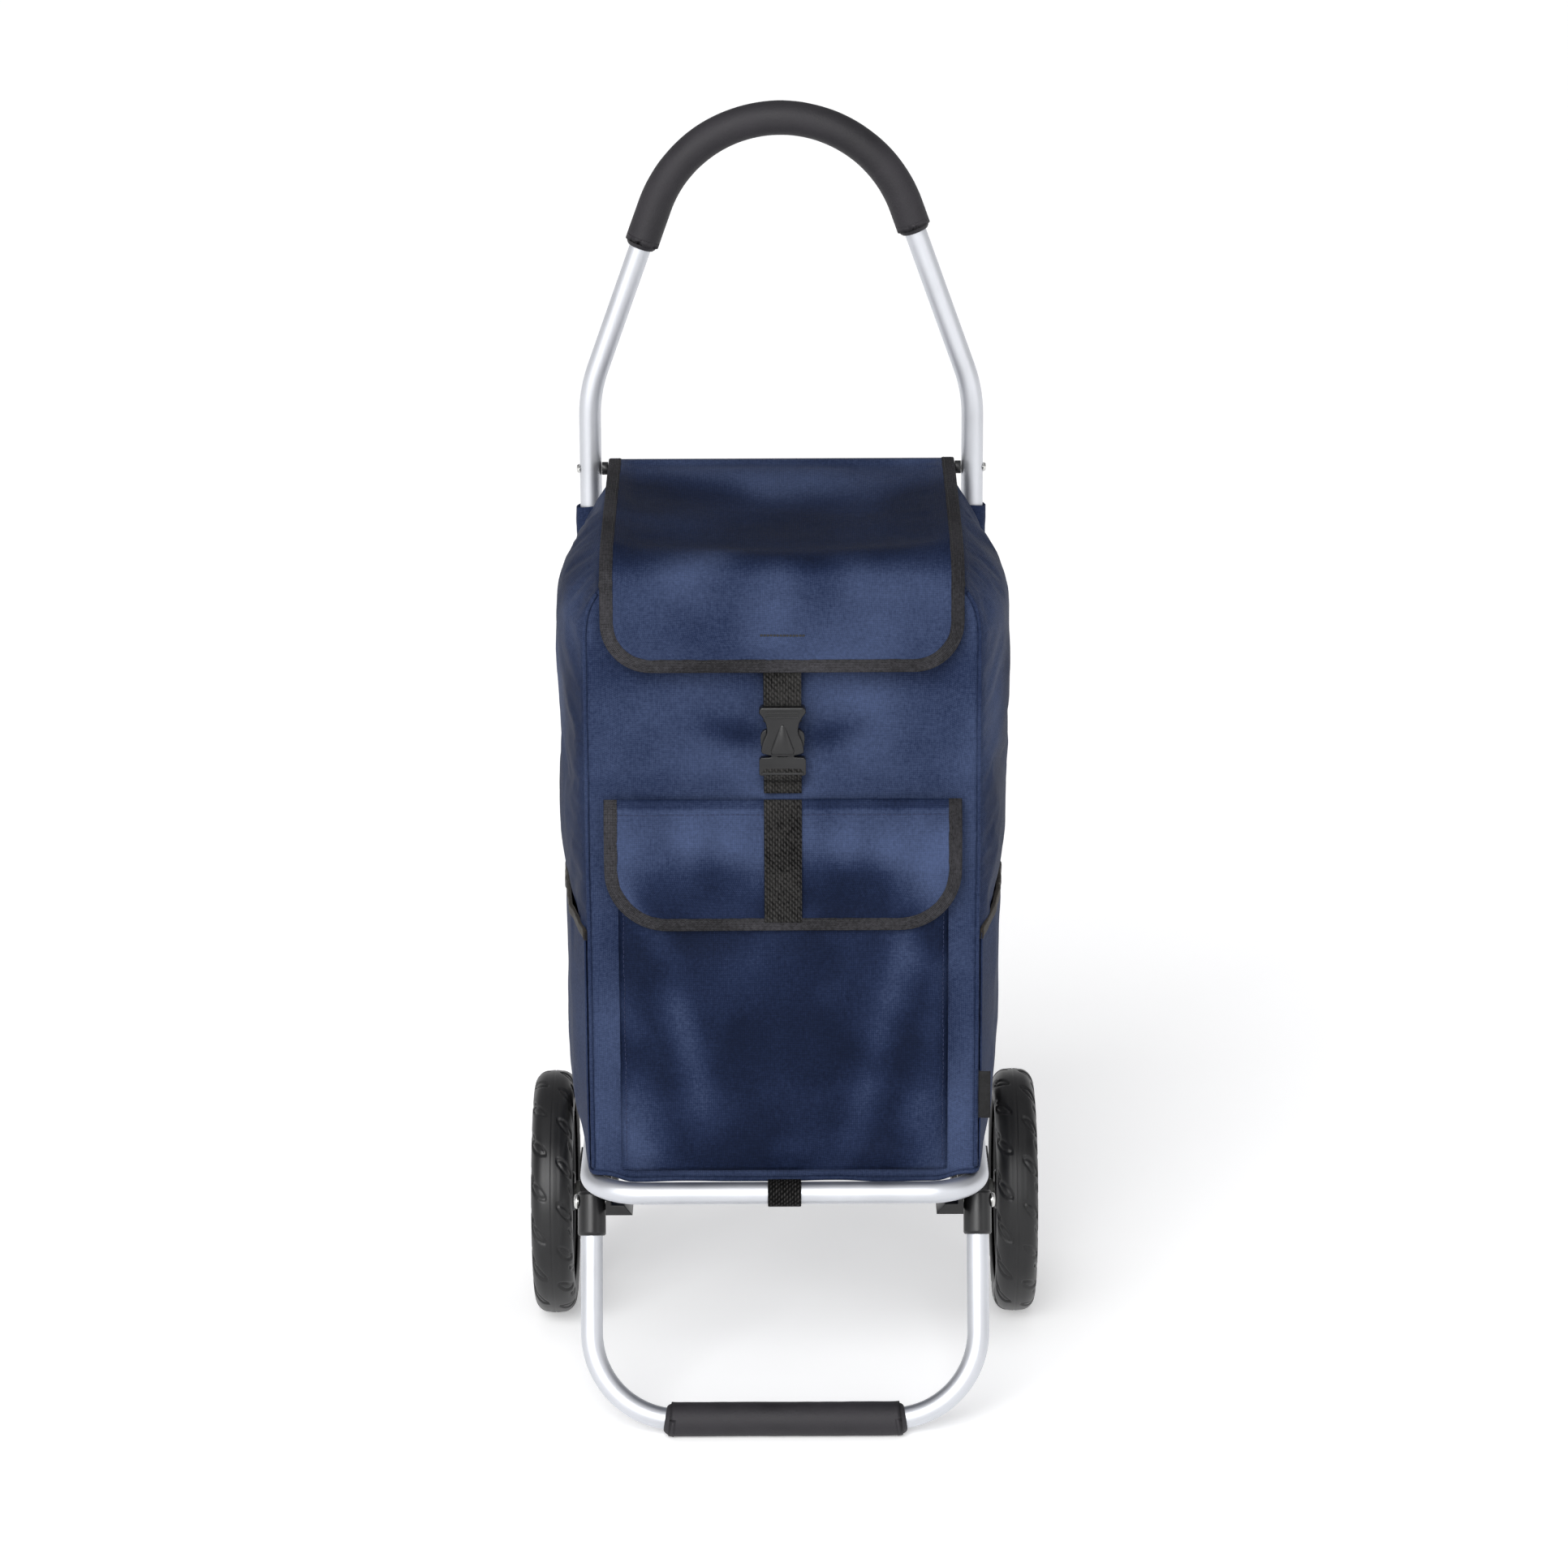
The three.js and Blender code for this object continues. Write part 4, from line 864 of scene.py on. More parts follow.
def stitch_object(name, points, normals, length=3.0, gap=1.0, width=0.55, lift=0.35):
    """A row of thread stitches along a line that lies on cloth."""
    points = np.asarray(points, float)
    far = distances(points)
    count = int(far[-1] // (length + gap))
    verts, faces = [], []
    section = [(-1, 0), (-0.5, 0.8), (0.5, 0.8), (1, 0), (0.5, -0.8), (-0.5, -0.8)]
    for k in range(count):
        start = (k + 0.15) * far[-1] / count
        stops = np.array([start, start + 0.15 * length, start + 0.85 * length, start + length])
        at = along_line(stops, far, points)
        up = unit(along_line(stops, far, normals))
        ahead = unit(at[-1] - at[0])
        side = unit(np.cross(up, ahead))
        base = len(verts)
        for row, (size, high) in enumerate([(0.45, -0.3), (1, 1), (1, 1), (0.45, -0.3)]):
            for a, b in section:
                rise = lift * high * 0.6 + b * size * width * 0.45
                verts.append(at[row] + side[row] * a * size * width / 2 + up[row] * rise)
        for row in range(3):
            for j in range(6):
                a, b = base + row * 6 + j, base + row * 6 + (j + 1) % 6
                faces.append([a, b, b + 6, a + 6])
        faces.append([base + j for j in range(5, -1, -1)])
        faces.append([base + 18 + j for j in range(6)])
    return face_out(object_from(name, verts, faces))


def surface_normals(points, toward):
    normal = unit(np.cross(np.gradient(points, axis=0), np.gradient(points, axis=1)) + 1e-12)
    sign = np.sign((normal * np.asarray(toward, float)).sum(axis=2, keepdims=True))
    return normal * np.where(sign == 0, 1, sign)


def paint_shading(obj, values):
    """Painted shading at each vertex, from -1, painted shade, to 1, painted sheen."""
    layer = obj.data.attributes.new("painted_shading", "FLOAT", "POINT")
    layer.data.foreach_set("value", np.clip(values, -1, 1).astype(float).ravel())


def bell(x, centre, width):
    """1 at the centre, falling away to nothing over a few widths."""
    return np.exp(-(((x - centre) / width) ** 2))


# ---- the bag ----
FRONT_COLS, SIDE_COLS, BACK_COLS, BAG_ROWS = 72, 44, 40, 116
CORNERS = [0, FRONT_COLS, FRONT_COLS + SIDE_COLS, FRONT_COLS + SIDE_COLS + BACK_COLS]


def side_x(y, z):
    """How far out the side of the bag stands at depth y and height z."""
    y = np.asarray(y, float)
    along = np.clip((y - BAG_FRONT_Y) / (BAG_BACK_Y - BAG_FRONT_Y), 0, 1)
    seam = mix(156, 163, along)
    low = mix(5, 11, smoothstep(z, BAG_BOTTOM, 320))
    belly = mix(low, 20, smoothstep(z, SIDE_POCKET_TOP - 40, SIDE_POCKET_TOP + 50))
    out = seam + belly * np.sin(np.pi * along) ** 0.8
    top = mix(BAG_FRONT_TOP, BAG_SIDE_TOP, along)
    tuck = np.clip((z - 655) / (top - 655), 0, 1) ** 3.2
    return mix(out, mix(BAG_RIM_X + 3, BAG_RIM_X, np.sin(np.pi * along)), tuck)


def bag_grid():
    """The front, right, back and left panels as one sheet, with its corners a little rounded."""
    v = np.linspace(0, 1, BAG_ROWS)[:, None]
    panels = []
    for cols, x0, x1, y0, y1, top0, top1, arch in (
        (FRONT_COLS, -1, 1, BAG_FRONT_Y, BAG_FRONT_Y, BAG_FRONT_TOP, BAG_FRONT_TOP, 0),
        (SIDE_COLS, 1, 1, BAG_FRONT_Y, BAG_BACK_Y, BAG_FRONT_TOP, BAG_SIDE_TOP, 0),
        (BACK_COLS, 1, -1, BAG_BACK_Y, BAG_BACK_Y, BAG_SIDE_TOP, BAG_SIDE_TOP, BAG_BACK_TOP - BAG_SIDE_TOP),
        (SIDE_COLS, -1, -1, BAG_BACK_Y, BAG_FRONT_Y, BAG_SIDE_TOP, BAG_FRONT_TOP, 0),
    ):
        s = np.arange(cols)[None] / cols
        y = mix(y0, y1, s) + 0 * v
        top = mix(top0, top1, s) + arch * np.clip(np.minimum(s, 1 - s) * 8, 0, 1)
        z = BAG_BOTTOM + v * (top - BAG_BOTTOM)
        panels.append(np.stack([mix(x0, x1, s) * side_x(y, z), y, z], 2))
    rounded = np.concatenate(panels, axis=1)
    for _ in range(2):
        rounded = (np.roll(rounded, 1, 1) + 2 * rounded + np.roll(rounded, -1, 1)) / 4
    return rounded


grid = bag_grid()
total_cols = grid.shape[1]
columns = np.arange(total_cols)
to_corner = np.min([np.minimum(abs(columns - c), total_cols - abs(columns - c)) for c in CORNERS], axis=0)
height = np.linspace(0, 1, BAG_ROWS)[:, None]
outward = unit(
    np.stack([grid[..., 0] / 160, (grid[..., 1] - BAG_MIDDLE_Y) / 116, np.zeros(grid.shape[:2])], 2) ** 7
)
free = np.clip(to_corner / 7, 0, 1)[None] * np.clip(height * 16, 0, 1) * np.clip((1 - height) * 14, 0, 1)
slanted = grid @ np.array([[1, 0, 0.5], [0, 1, 0.4], [-0.3, 0.2, 0.6]])
is_front = (columns < FRONT_COLS)[None]
is_side = (((columns > FRONT_COLS) & (columns < CORNERS[2])) | (columns > CORNERS[3]))[None]
folds = 1.3 * noise(grid * vec(1, 1, 0.45), 70, 5) + 0.7 * noise(slanted, 34, 8) + 0.25 * noise(grid, 15, 9)
push = folds * free * np.where(is_front, 0.6, np.where(is_side, 1.9, 0.7))
# creases that the pull of the buckle leaves in the front, always inwards
gx, gz = grid[..., 0], grid[..., 2]
from_buckle = np.hypot(gx, (gz - PULL_Z) * 1.1)
round_buckle = np.arctan2(gz - PULL_Z, np.abs(gx) + 4)
creases = np.cos(round_buckle * 7.0 + 0.6 * np.sin(from_buckle / 17))
creases = creases * smoothstep(from_buckle, 14, 34) * (1 - smoothstep(from_buckle, 60, 125))
pulled_in = (1.9 * creases - 1.6 - 1.76 * bell(from_buckle, 0, 42)) * (1 - smoothstep(from_buckle, 90, 140))
push = push + np.where(is_front & (gz > 540) & (gz < 650), pulled_in, 0)
broad = 2.6 * noise(grid * vec(1, 1, 0.6), 88, 12) + 1.2 * noise(slanted, 46, 13)
push = push + np.where(is_front, (broad - 2.0) * smoothstep(gz, 480, 540) * free, broad * 0.5 * free)
push = np.where(is_front, np.minimum(push, 0.6), push)
grid = grid + outward * push[..., None]
droop = (5.8 + 1.3 * noise(grid, 40, 15)) * np.exp(-(gz - BAG_BOTTOM) / 22) * (1 - smoothstep(np.abs(gx), 122, 147))
grid[..., 2] -= np.where(is_front, droop, 0)
bag = grid_object("bag_shell", grid, wrap=True)
pins = np.maximum(1 - to_corner[None] / 2.0, 0) + np.where(height < 0.012, 1, 0) + np.where(height > 0.988, 1, 0)
bag_share = np.where(is_front, 0.3, 0.8) + 0 * gx
settle(bag, np.clip(pins, 0, 1) + 0 * gx, 0.012, 6, pressure=0.35, share=bag_share)
bag_points = coords(bag, grid.shape)
# painted shading on the bag: random lighter and darker patches, painted shade in the creases beside the buckle, a
# painted shadow under the lid's edge, a painted shade band just above the flap, and the sides painted darker than the
# front
patches = 0.8 * noise(grid * vec(1, 1, 0.7), 60, 14)
painted_buckle_crease_shade = bell(np.abs(gx), 40, 26) * bell(gz - 0.25 * np.abs(gx), 576, 13)
painted_shadow_under_lid = 0.7 * (1 - smoothstep(np.abs(gz - LID_EDGE_Z), 4, 30))
panel_painted_shading = 0.30 + patches - 1.1 * painted_buckle_crease_shade - 0.5 * painted_shadow_under_lid - 0.2 * bell(gz, 542, 9)
paint_shading(bag, np.where(is_front, panel_painted_shading, -0.1 + patches))
thick(face_out(bag), 1.1, -1.0, 1)
bag_piece(bag, CLOTH, "frame", ["bag_front_panel", "bag_side_left", "bag_side_right", "bag_back_panel"])

# piping down the four corners, and the hem round the bottom and the mouth
for index, corner in enumerate(CORNERS):
    line = bag_points[1:-1, corner]
    away = unit(line * vec(1, 1, 0) - vec(0, BAG_MIDDLE_Y, 0)) * 0.5
    along = unit(np.gradient(line, axis=0))
    u = unit(np.cross(along, away))
    w = np.cross(u, along)
    wobble = 1 + 0.12 * noise(line, 6, 30 + index)[:, None]
    rings = section_rings(line + away, circle(1.9 if index < 2 else 1.5, 10), u * wobble, w * wobble)
    bag_piece(solid(f"bag_piping_{index + 1}", rings), NYLON, "frame")

for name, row, radius, material, slot in (
    ("bag_bottom_seam", 0, 2.0, NYLON, "bag_nylon"), ("bag_mouth_hem", BAG_ROWS - 1, 1.6, BINDING, "woven_binding"),
):
    line = bag_points[row]
    level = np.broadcast_to(LEVEL, line.shape)
    u = unit(np.cross(unit(np.roll(line, -1, 0) - np.roll(line, 1, 0)), level))
    rings = section_rings(line, circle(radius, 8), u, level)
    bag_piece(solid(name, np.concatenate([rings, rings[:1]], 0), cap=False), material, "frame")

# base fabric and its stiffening board
u, v = np.meshgrid(np.linspace(-1, 1, 24), np.linspace(0, 1, 18))
base = np.stack([u * 153, mix(-147, 79, v), 217 + 0.4 * noise(np.stack([u * 150, v * 200, u * 0], 2), 40, 2)], 2)
bag_piece(thick(grid_object("bag_base_cloth", base), 1.2), CLOTH, "frame", ["bag_base_panel"])
board = [(-BASE_X, 218.6), (BASE_X, 218.6), (BASE_X, 221.2), (-BASE_X, 221.2)]
board = bevelled(outline_plate("bag_board", board, -142, 73), 0.6)
bag_piece(board, BOARD, "frame", ["bag_base_board"])

# ---- front pocket ----
POCKET_ROWS, POCKET_COLS = 76, 73
s, v = np.meshgrid(np.linspace(-1, 1, POCKET_COLS), np.linspace(0, 1, POCKET_ROWS))
x = s * POCKET_X
z = mix(POCKET_BOTTOM, POCKET_SEAM_Z, v)
spots = flat_spots(x, z)
edge = np.clip((POCKET_X - abs(x)) / 7, 0, 1)
base_edge = np.clip(v * 14, 0, 1)
stand_off = 1.6 + 6.6 * smoothstep(edge, 0, 1) * (0.25 + 0.75 * smoothstep(base_edge, 0, 1))
pucker = 0.55 * noise(spots * vec(0.6, 1, 2.4), 16, 21) * np.clip(1.2 - abs(131 - abs(x)) / 16, 0, 1)
soft = 3.0 * noise(spots * vec(1, 1, 0.45), 66, 22)
soft = soft + 1.3 * noise(spots @ np.array([[1, 0, 0.6], [0, 1, 0], [-0.5, 0, 0.7]]), 34, 23)
soft = soft + 3.0 * smoothstep(z, 260, 420) - 3.2 * (1 - smoothstep(z, 225, 330))
y = BAG_FRONT_Y - stand_off - (soft * edge * base_edge + pucker)
pocket = grid_object("front_pocket_cloth", np.stack([x, y, z], 2))
pinned = ((abs(x) > 128.5) | (v < 0.012)).astype(float) + 0.6 * (v > 0.985)
settle(pocket, np.clip(pinned, 0, 1), 0.010, 3.2, pressure=0.2)
pocket_points = coords(pocket, (POCKET_ROWS, POCKET_COLS, 3))
# the flap keeps what is under it flat
kept_in = BAG_FRONT_Y - mix(16.0, 10.5, smoothstep(z, 395, 425))
pocket_points[..., 1] = np.maximum(pocket_points[..., 1], kept_in)
set_coords(pocket, pocket_points)
# painted shading on the pocket: painted shade over the whole pocket, painted light and shade along folds from noise, a
# painted highlight on a diverging fold with painted shade beside it, painted light in the lower corners and a painted
# shadow under the flap
pocket_fold_shading = 0.9 * noise(spots @ np.array([[0.8, 0, 0.5], [0, 1, 0], [-0.5, 0, 0.8]]), 46, 24)
pocket_fold_shading = pocket_fold_shading + 0.5 * noise(spots @ np.array([[0.8, 0, -0.5], [0, 1, 0], [0.5, 0, 0.8]]), 24, 25)
painted_shadow_under_flap = smoothstep(z, 330, 425) * (1 - 0.5 * smoothstep(np.abs(x), 60, 120))
u = np.abs(x) / 131
fold_at = 0.38 + 0.50 * v
painted_fold_highlight = 0.85 * bell(u, fold_at, 0.10) * smoothstep(v, 0.10, 0.28)
painted_fold_shade = 0.35 * bell(u, fold_at + 0.2, 0.08)
painted_corner_light = 0.6 * smoothstep(u, 0.5, 0.95) * (1 - smoothstep(v, 0.15, 0.45))
paint_shading(pocket, -0.85 + 0.6 * pocket_fold_shading + painted_fold_highlight - painted_fold_shade + painted_corner_light - 0.2 * painted_shadow_under_flap)
thick(face_out(pocket), 1.0, 0.0)
bag_piece(pocket, CLOTH, "frame", ["front_pocket_panel"])
for name, col in (("left", 1), ("right", POCKET_COLS - 2)):
    line = pocket_points[2:-2, col] + vec(0, -0.9, 0)
    obj = stitch_object("front_pocket_stitches_" + name, line, np.broadcast_to(-FACING, line.shape))
    bag_piece(obj, THREAD_NAVY, "frame")

# ---- side pockets ----
ELASTIC_SECTION = [(0.0, -0.9), (0.0, 0.9), (0.4, 1.5)] + [(d, 1.6) for d in np.linspace(1.2, 7.2, 6)]
ELASTIC_SECTION += [(8.0, 1.3), (8.0, 0.6), (8.0, -1.3)] + [(d, -1.6) for d in np.linspace(7.2, 1.2, 6)]
ELASTIC_SECTION = np.array(ELASTIC_SECTION + [(0.4, -1.5)])
for side, name in ((-1, "left"), (1, "right")):
    s, v = np.meshgrid(np.linspace(0, 1, 46), np.linspace(0, 1, 44))
    y = mix(-147, 62, s)
    rim = mix(SIDE_POCKET_TOP - 17, SIDE_POCKET_TOP, np.sin(np.pi * np.minimum(s, 0.5)))
    z = mix(POCKET_BOTTOM, rim, v)
    ends = np.minimum(1, np.minimum(5 * s, 5 * (1 - s)))
    spots = np.stack([0 * y, y, z], 2)
    gather = 0.9 * noise(spots * vec(1, 3.2, 0.7), 26, 40 + side) * smoothstep(v, 0.72, 1.0) * ends
    slack = 1.4 * noise(spots, 55, 42 + side) + 0.5 * noise(spots, 20, 44 + side)
    slack = slack * ends * np.minimum(1, 5 * v) * (1 - v ** 6)
    x = side_x(y, np.minimum(z, 400)) + 1.2 + 5.6 * ends * np.minimum(1, 6 * v) + gather + slack
    x = np.maximum(x, side_x(y, z) + 1.6)
    points = np.stack([side * x, y, z], 2)
    obj = thick(grid_object("side_pocket_cloth_" + name, points, flip=side > 0), 1.0, 0.0)
    bag_piece(obj, CLOTH, "frame", ["side_pocket_" + name])
    top = points[-1]
    down = unit(points[-4] - top)
    away = unit(np.cross(np.gradient(top, axis=0), down))
    away *= np.sign(away[:, :1]) * side
    ripple = 1 + 0.25 * noise(np.stack([0 * y[0], y[0] * 4, 0 * y[0]], 1), 14, 50)[:, None]
    rings = section_rings(top + vec(0, 0, 1.2), ELASTIC_SECTION, down, away * ripple)
    bag_piece(solid("side_pocket_elastic_" + name, rings), ELASTIC, "frame")

# ---- sleeves on the uprights, and the webs that join them to the bag ----
for side, name in ((-1, "left"), (1, "right")):
    t = np.linspace(0, 1, 46)[:, None]
    angle = np.linspace(0, 2 * math.pi, 48, endpoint=False)[None]
    z = mix(SLEEVE_BOTTOM, SLEEVE_TOP, t) + 0 * angle
    cx, sy = np.cos(angle), np.sin(angle)
    spots = np.stack([side * cx * 12 + 0 * t, sy * 12 + 0 * t, z], 2)
    radius = 11.4 + 0.8 * noise(spots * vec(1.2, 1.2, 0.8), 18, 60 + side) + 0.4 * noise(spots, 8, 61)
    z = z + 1.5 * noise(spots, 20, 64) * t - side * cx * 1.5 * t
    points = np.stack([side * FRAME_X + radius * cx * 1.02, AXLE_Y + radius * sy * 0.96, z], 2)
    obj = solid("upright_sleeve_cloth_" + name, points, cap=False)
    finish_piece(thick(obj, 0.9, -0.2), CLOTH, "frame", ["upright_sleeve_" + name])
    t = np.linspace(0, 1, 40)[:, None]
    start = np.stack([side * (151 + 0 * t), BAG_BACK_Y + 0.6 + 0 * t, mix(SLEEVE_BOTTOM, SLEEVE_TOP + 1, t)], 2)
    end = np.stack([side * (FRAME_X - 4 + 0 * t), AXLE_Y - 11.2 + 0 * t, mix(SLEEVE_BOTTOM, SLEEVE_TOP, t)], 2)
    web = mix(start, end, np.linspace(0, 1, 8)[None, :, None])
    web = thick(grid_object("upright_sleeve_web_" + name, web), 1.0, 0.0)
    finish_piece(web, NYLON, "frame")


# ---- lid and pocket flap ----
def fold_path(points, radius, step=3.0):
    """A path in the (y, z) plane with rounded folds, sampled evenly."""
    dense = [np.array(points[0], float)]
    for i in range(1, len(points) - 1):
        corner = np.array(points[i], float)
        start = corner - unit(corner - dense[-1]) * radius
        end = corner + unit(np.array(points[i + 1], float) - corner) * radius
        dense.append(start)
        for k in range(1, 25):
            t = k / 24
            dense.append((1 - t) ** 2 * start + 2 * t * (1 - t) * corner + t * t * end)
    dense.append(np.array(points[-1], float))
    dense = np.array(dense)
    far = distances(dense)
    stops = np.linspace(0, far[-1], max(2, int(far[-1] / step)))
    return stops, along_line(stops, far, dense)


def bound_half(half, length, radius, t):
    into = np.maximum(0, t - (length - radius))
    return half - radius + np.sqrt(np.maximum(0, radius * radius - into * into))


def edge_distance(x, t, half, length, radius):
    """How far a flat point of the sheet is from its free edge."""
    dx, dt = half - np.abs(x), length - t
    corner = radius - np.hypot(np.maximum(0, radius - dx), np.maximum(0, radius - dt))
    return np.where((dx < radius) & (dt < radius), corner, np.minimum(dx, dt))


def cloth_sheet(path_points, fold_radius, half, radius, wrinkle):
    """A sheet's points, its flat length, and how far inside its edges each point is, from 0 to 1."""
    stops, path = fold_path(path_points, fold_radius)
    length = stops[-1]
    round_end = length - radius + radius * np.sin(np.linspace(0, math.pi / 2, 16))
    bends = np.concatenate([stops[stops < length - radius - 1], round_end])
    path = along_line(bends, stops, path)
    x = bound_half(half, length, radius, bends)[:, None] * np.linspace(-1, 1, SHEET_COLS)[None]
    points = np.stack([x, path[:, None, 0] + 0 * x, path[:, None, 1] + 0 * x], 2)
    t = bends[:, None] + 0 * x
    inside = smoothstep(edge_distance(x, t, half, length, radius), 9, 26)
    wave_all = 0.8 * noise(flat_spots(x, t), 90, 77) * np.minimum(1, t / 30)
    push = wrinkle(x, t, length) * inside + wave_all
    return points + surface_normals(points, (0, -1, 0.7)) * push[..., None], length, inside


def settle_sheet(name, points, inside, cap, gravity):
    """The sheet as an object, settled with its seam, sides and the middle of its far edge held."""
    obj = grid_object(name, points)
    pin = np.zeros(points.shape[:2])
    pin[:3] = 1
    pin[-2:, 34:47] = 0.9
    pin[:, :2] = pin[:, -2:] = 0.35
    settle(obj, pin, 0.010, cap, gravity=gravity, share=inside)
    across, down = np.meshgrid(np.linspace(-1, 1, SHEET_COLS), np.linspace(0, 1, len(points)))
    return obj, coords(obj, points.shape), across, down


def keep_in_front(obj, points, y, where):
    """Holds the hanging part of a sheet in front of what it rests on."""
    points[..., 1] = mix(points[..., 1], np.minimum(points[..., 1], y), where)
    set_coords(obj, points)


def edge_of(points):
    """The sheet's free edge: down one side, along the far end and back up."""
    return np.concatenate([points[:, 0], points[-1, 1:-1], points[::-1, -1]])


def bind(name, points, normals, body, node, w=TAPE_WIDTH, d=1.25):
    """A tape folded over the sheet's free edge, w wide and d away from the sheet, and its stitches."""
    line = edge_of(points)
    facing = unit(edge_of(normals))
    keep = np.concatenate([[True], np.linalg.norm(np.diff(line, axis=0), axis=1) > 0.3])
    line, facing = line[keep], facing[keep]
    ahead = unit(np.gradient(line, axis=0))
    for _ in range(2):
        ahead = unit(np.concatenate([ahead[:1], (ahead[:-2] + 2 * ahead[1:-1] + ahead[2:]) / 4, ahead[-1:]]))
    inward = unit(np.cross(facing, ahead))
    middle = points[len(points) // 2, points.shape[1] // 2]
    if ((middle - line[4]) * inward[4]).sum() < 0:
        inward = -inward
    section = [(w, d * 0.62), (w - 0.5, d)] + [(a, d * 1.06) for a in np.linspace(w - 1.5, 1.5, 7)]
    section += [(0.3, d), (-0.7, d * 0.55), (-0.9, 0), (-0.7, -d * 0.55), (0.3, -d)]
    section += [(a, -d) for a in np.linspace(1.5, w - 1.5, 7)] + [(w, -d * 0.62)]
    stretch = 1 + 0.35 / w * noise(line, 5, 71)[:, None]
    ripple = 1 + 0.10 * noise(line, 7, 70)[:, None]
    tape = solid(name, section_rings(line, np.array(section), inward * stretch, facing * ripple))
    bag_piece(tape, BINDING, body, node)
    threads = stitch_object(name + "_stitches", line + inward * (w - 1.9) + facing * (d * 1.06), facing, 2.6, 1.0, 0.5)
    return [tape, bag_piece(threads, THREAD_BLACK, body)]


def lid_wrinkle(x, t, length):
    drop = length - t
    spots = flat_spots(x, t)
    hanging = smoothstep(t, 225, 275)
    fan = np.sin(11.2 * np.arctan2(x, 180 - drop) + 0.8) * bell(x, 0, 75)
    fan = fan * smoothstep(drop, 18, 60) * (1 - smoothstep(drop, 75, 118))
    sag = -4.5 * np.cos(x / LID_X * math.pi / 2) * smoothstep(t, 20, 110) * (1 - smoothstep(t, 190, 250))
    soft = 2.2 * noise(spots * vec(0.8, 1, 1), 80, 81) + 0.9 * noise(spots, 38, 82) + 0.15 * noise(spots, 13, 83)
    return (2.2 * fan * hanging + 1.5 * sag + soft * (0.7 + 0.9 * hanging)) * np.minimum(1, t / 30)


lid_path = [(AXLE_Y + 3, CROSSBAR_Z + 6.6), (40, CROSSBAR_Z + 4.5), (-153.5, 730), (-162.5, LID_EDGE_Z)]
lid_points, lid_length, lid_inside = cloth_sheet(lid_path, 42, LID_X - 0.8, LID_CORNER_R, lid_wrinkle)
lid, lid_points, across, down = settle_sheet("lid_cloth", lid_points, lid_inside, 3.0, 0.15)
# the hanging front rests on the hem of the bag's mouth
keep_in_front(lid, lid_points, BAG_FRONT_Y - 4.6, 1 - smoothstep(lid_points[..., 2], 710, 731))
lid_normals = surface_normals(lid_points, (0, -1, 0.7))
# painted shading on the lid: a painted shade band across the top and the fold, painted highlights along the fan
# creases of the hanging front, and random mottling
spots = flat_spots(across * 140, down * 400)
waver = 0.05 * noise(spots * vec(1, 1, 0.1), 60, 84)
painted_shade_band = smoothstep(down + waver, 0.12, 0.30) * (1 - smoothstep(down + waver - 0.05 * across ** 2, 0.60, 0.74))
painted_crease_highlights = np.cos(np.arctan2(across * 140, (down - 0.50) * 400) * 9 + 0.5) * bell(across, 0, 0.62)
painted_crease_highlights = painted_crease_highlights * smoothstep(down, 0.62, 0.74) * (1 - smoothstep(down, 0.86, 0.97))
paint_shading(lid, 0.30 - 1.45 * painted_shade_band + 0.35 * painted_crease_highlights + 0.5 * noise(spots, 60, 85))
thick(face_out(lid), 1.2, 0.0)
bag_piece(lid, CLOTH, "lid", ["lid_panel"])

# three rows of thread make the bar tack on the lid's hanging front
middle = lid_points[:, SHEET_COLS // 2]
tack_row = int(np.argmin(np.abs(middle[:, 2] - (LID_EDGE_Z + 27)) + 50 * (middle[:, 1] > -140)))
tack_normals = lid_normals[tack_row, 35:46]
tack = lid_points[tack_row, 35:46] + tack_normals * 0.5
for shift in range(3):
    line = tack + vec(0, 0, 0.5 * shift)
    threads = stitch_object(f"lid_bar_tack_{shift + 1}", line, tack_normals, 2.2, 0.25, 0.7, 0.3)
    bag_piece(threads, THREAD_BLACK, "lid")
lid_edging = bind("lid_tape", lid_points, lid_normals, "lid", ["lid_binding"])

# the hem that goes round the bar
angles = np.linspace(-0.35 * math.pi, 1.42 * math.pi, 26)[:, None]
x = np.linspace(-141.5, 141.5, 60)[None] + 0 * angles
points = np.stack([x, AXLE_Y + 4.6 * np.cos(angles) + 0 * x, CROSSBAR_Z + 4.6 * np.sin(angles) + 0 * x], 2)
points[..., 2] += 0.25 * noise(points, 14, 90)
finish_piece(thick(grid_object("lid_bar_hem", points, flip=True), 0.9, 0.0), NYLON, "frame")


def flap_wrinkle(x, t, length):
    spots, x = flat_spots(x, t), np.abs(x)
    stitch = 0.8 * bell(t, 4, 2.5) - 0.9 * bell(t, 8.5, 2.2)
    low = smoothstep(t, 10, 50)
    diagonal = np.sin((t * 0.55 - x * 0.33) / 8.5) * smoothstep(x, 25, 60) * (1 - smoothstep(x, 95, 130))
    beside = -1.6 * bell(x, 24, 10) * smoothstep(t, 15, 40)
    soft = 1.6 * noise(spots * vec(0.8, 1, 1), 60, 91) + 0.8 * noise(spots, 28, 92)
    ridge_at = 36 + 26 * (x / 120) ** 2
    swell = 3.4 * smoothstep(t, 6, ridge_at) * (1 - smoothstep(t, ridge_at, length - 8))
    return stitch + 1.1 * diagonal * low + beside + soft * low + swell


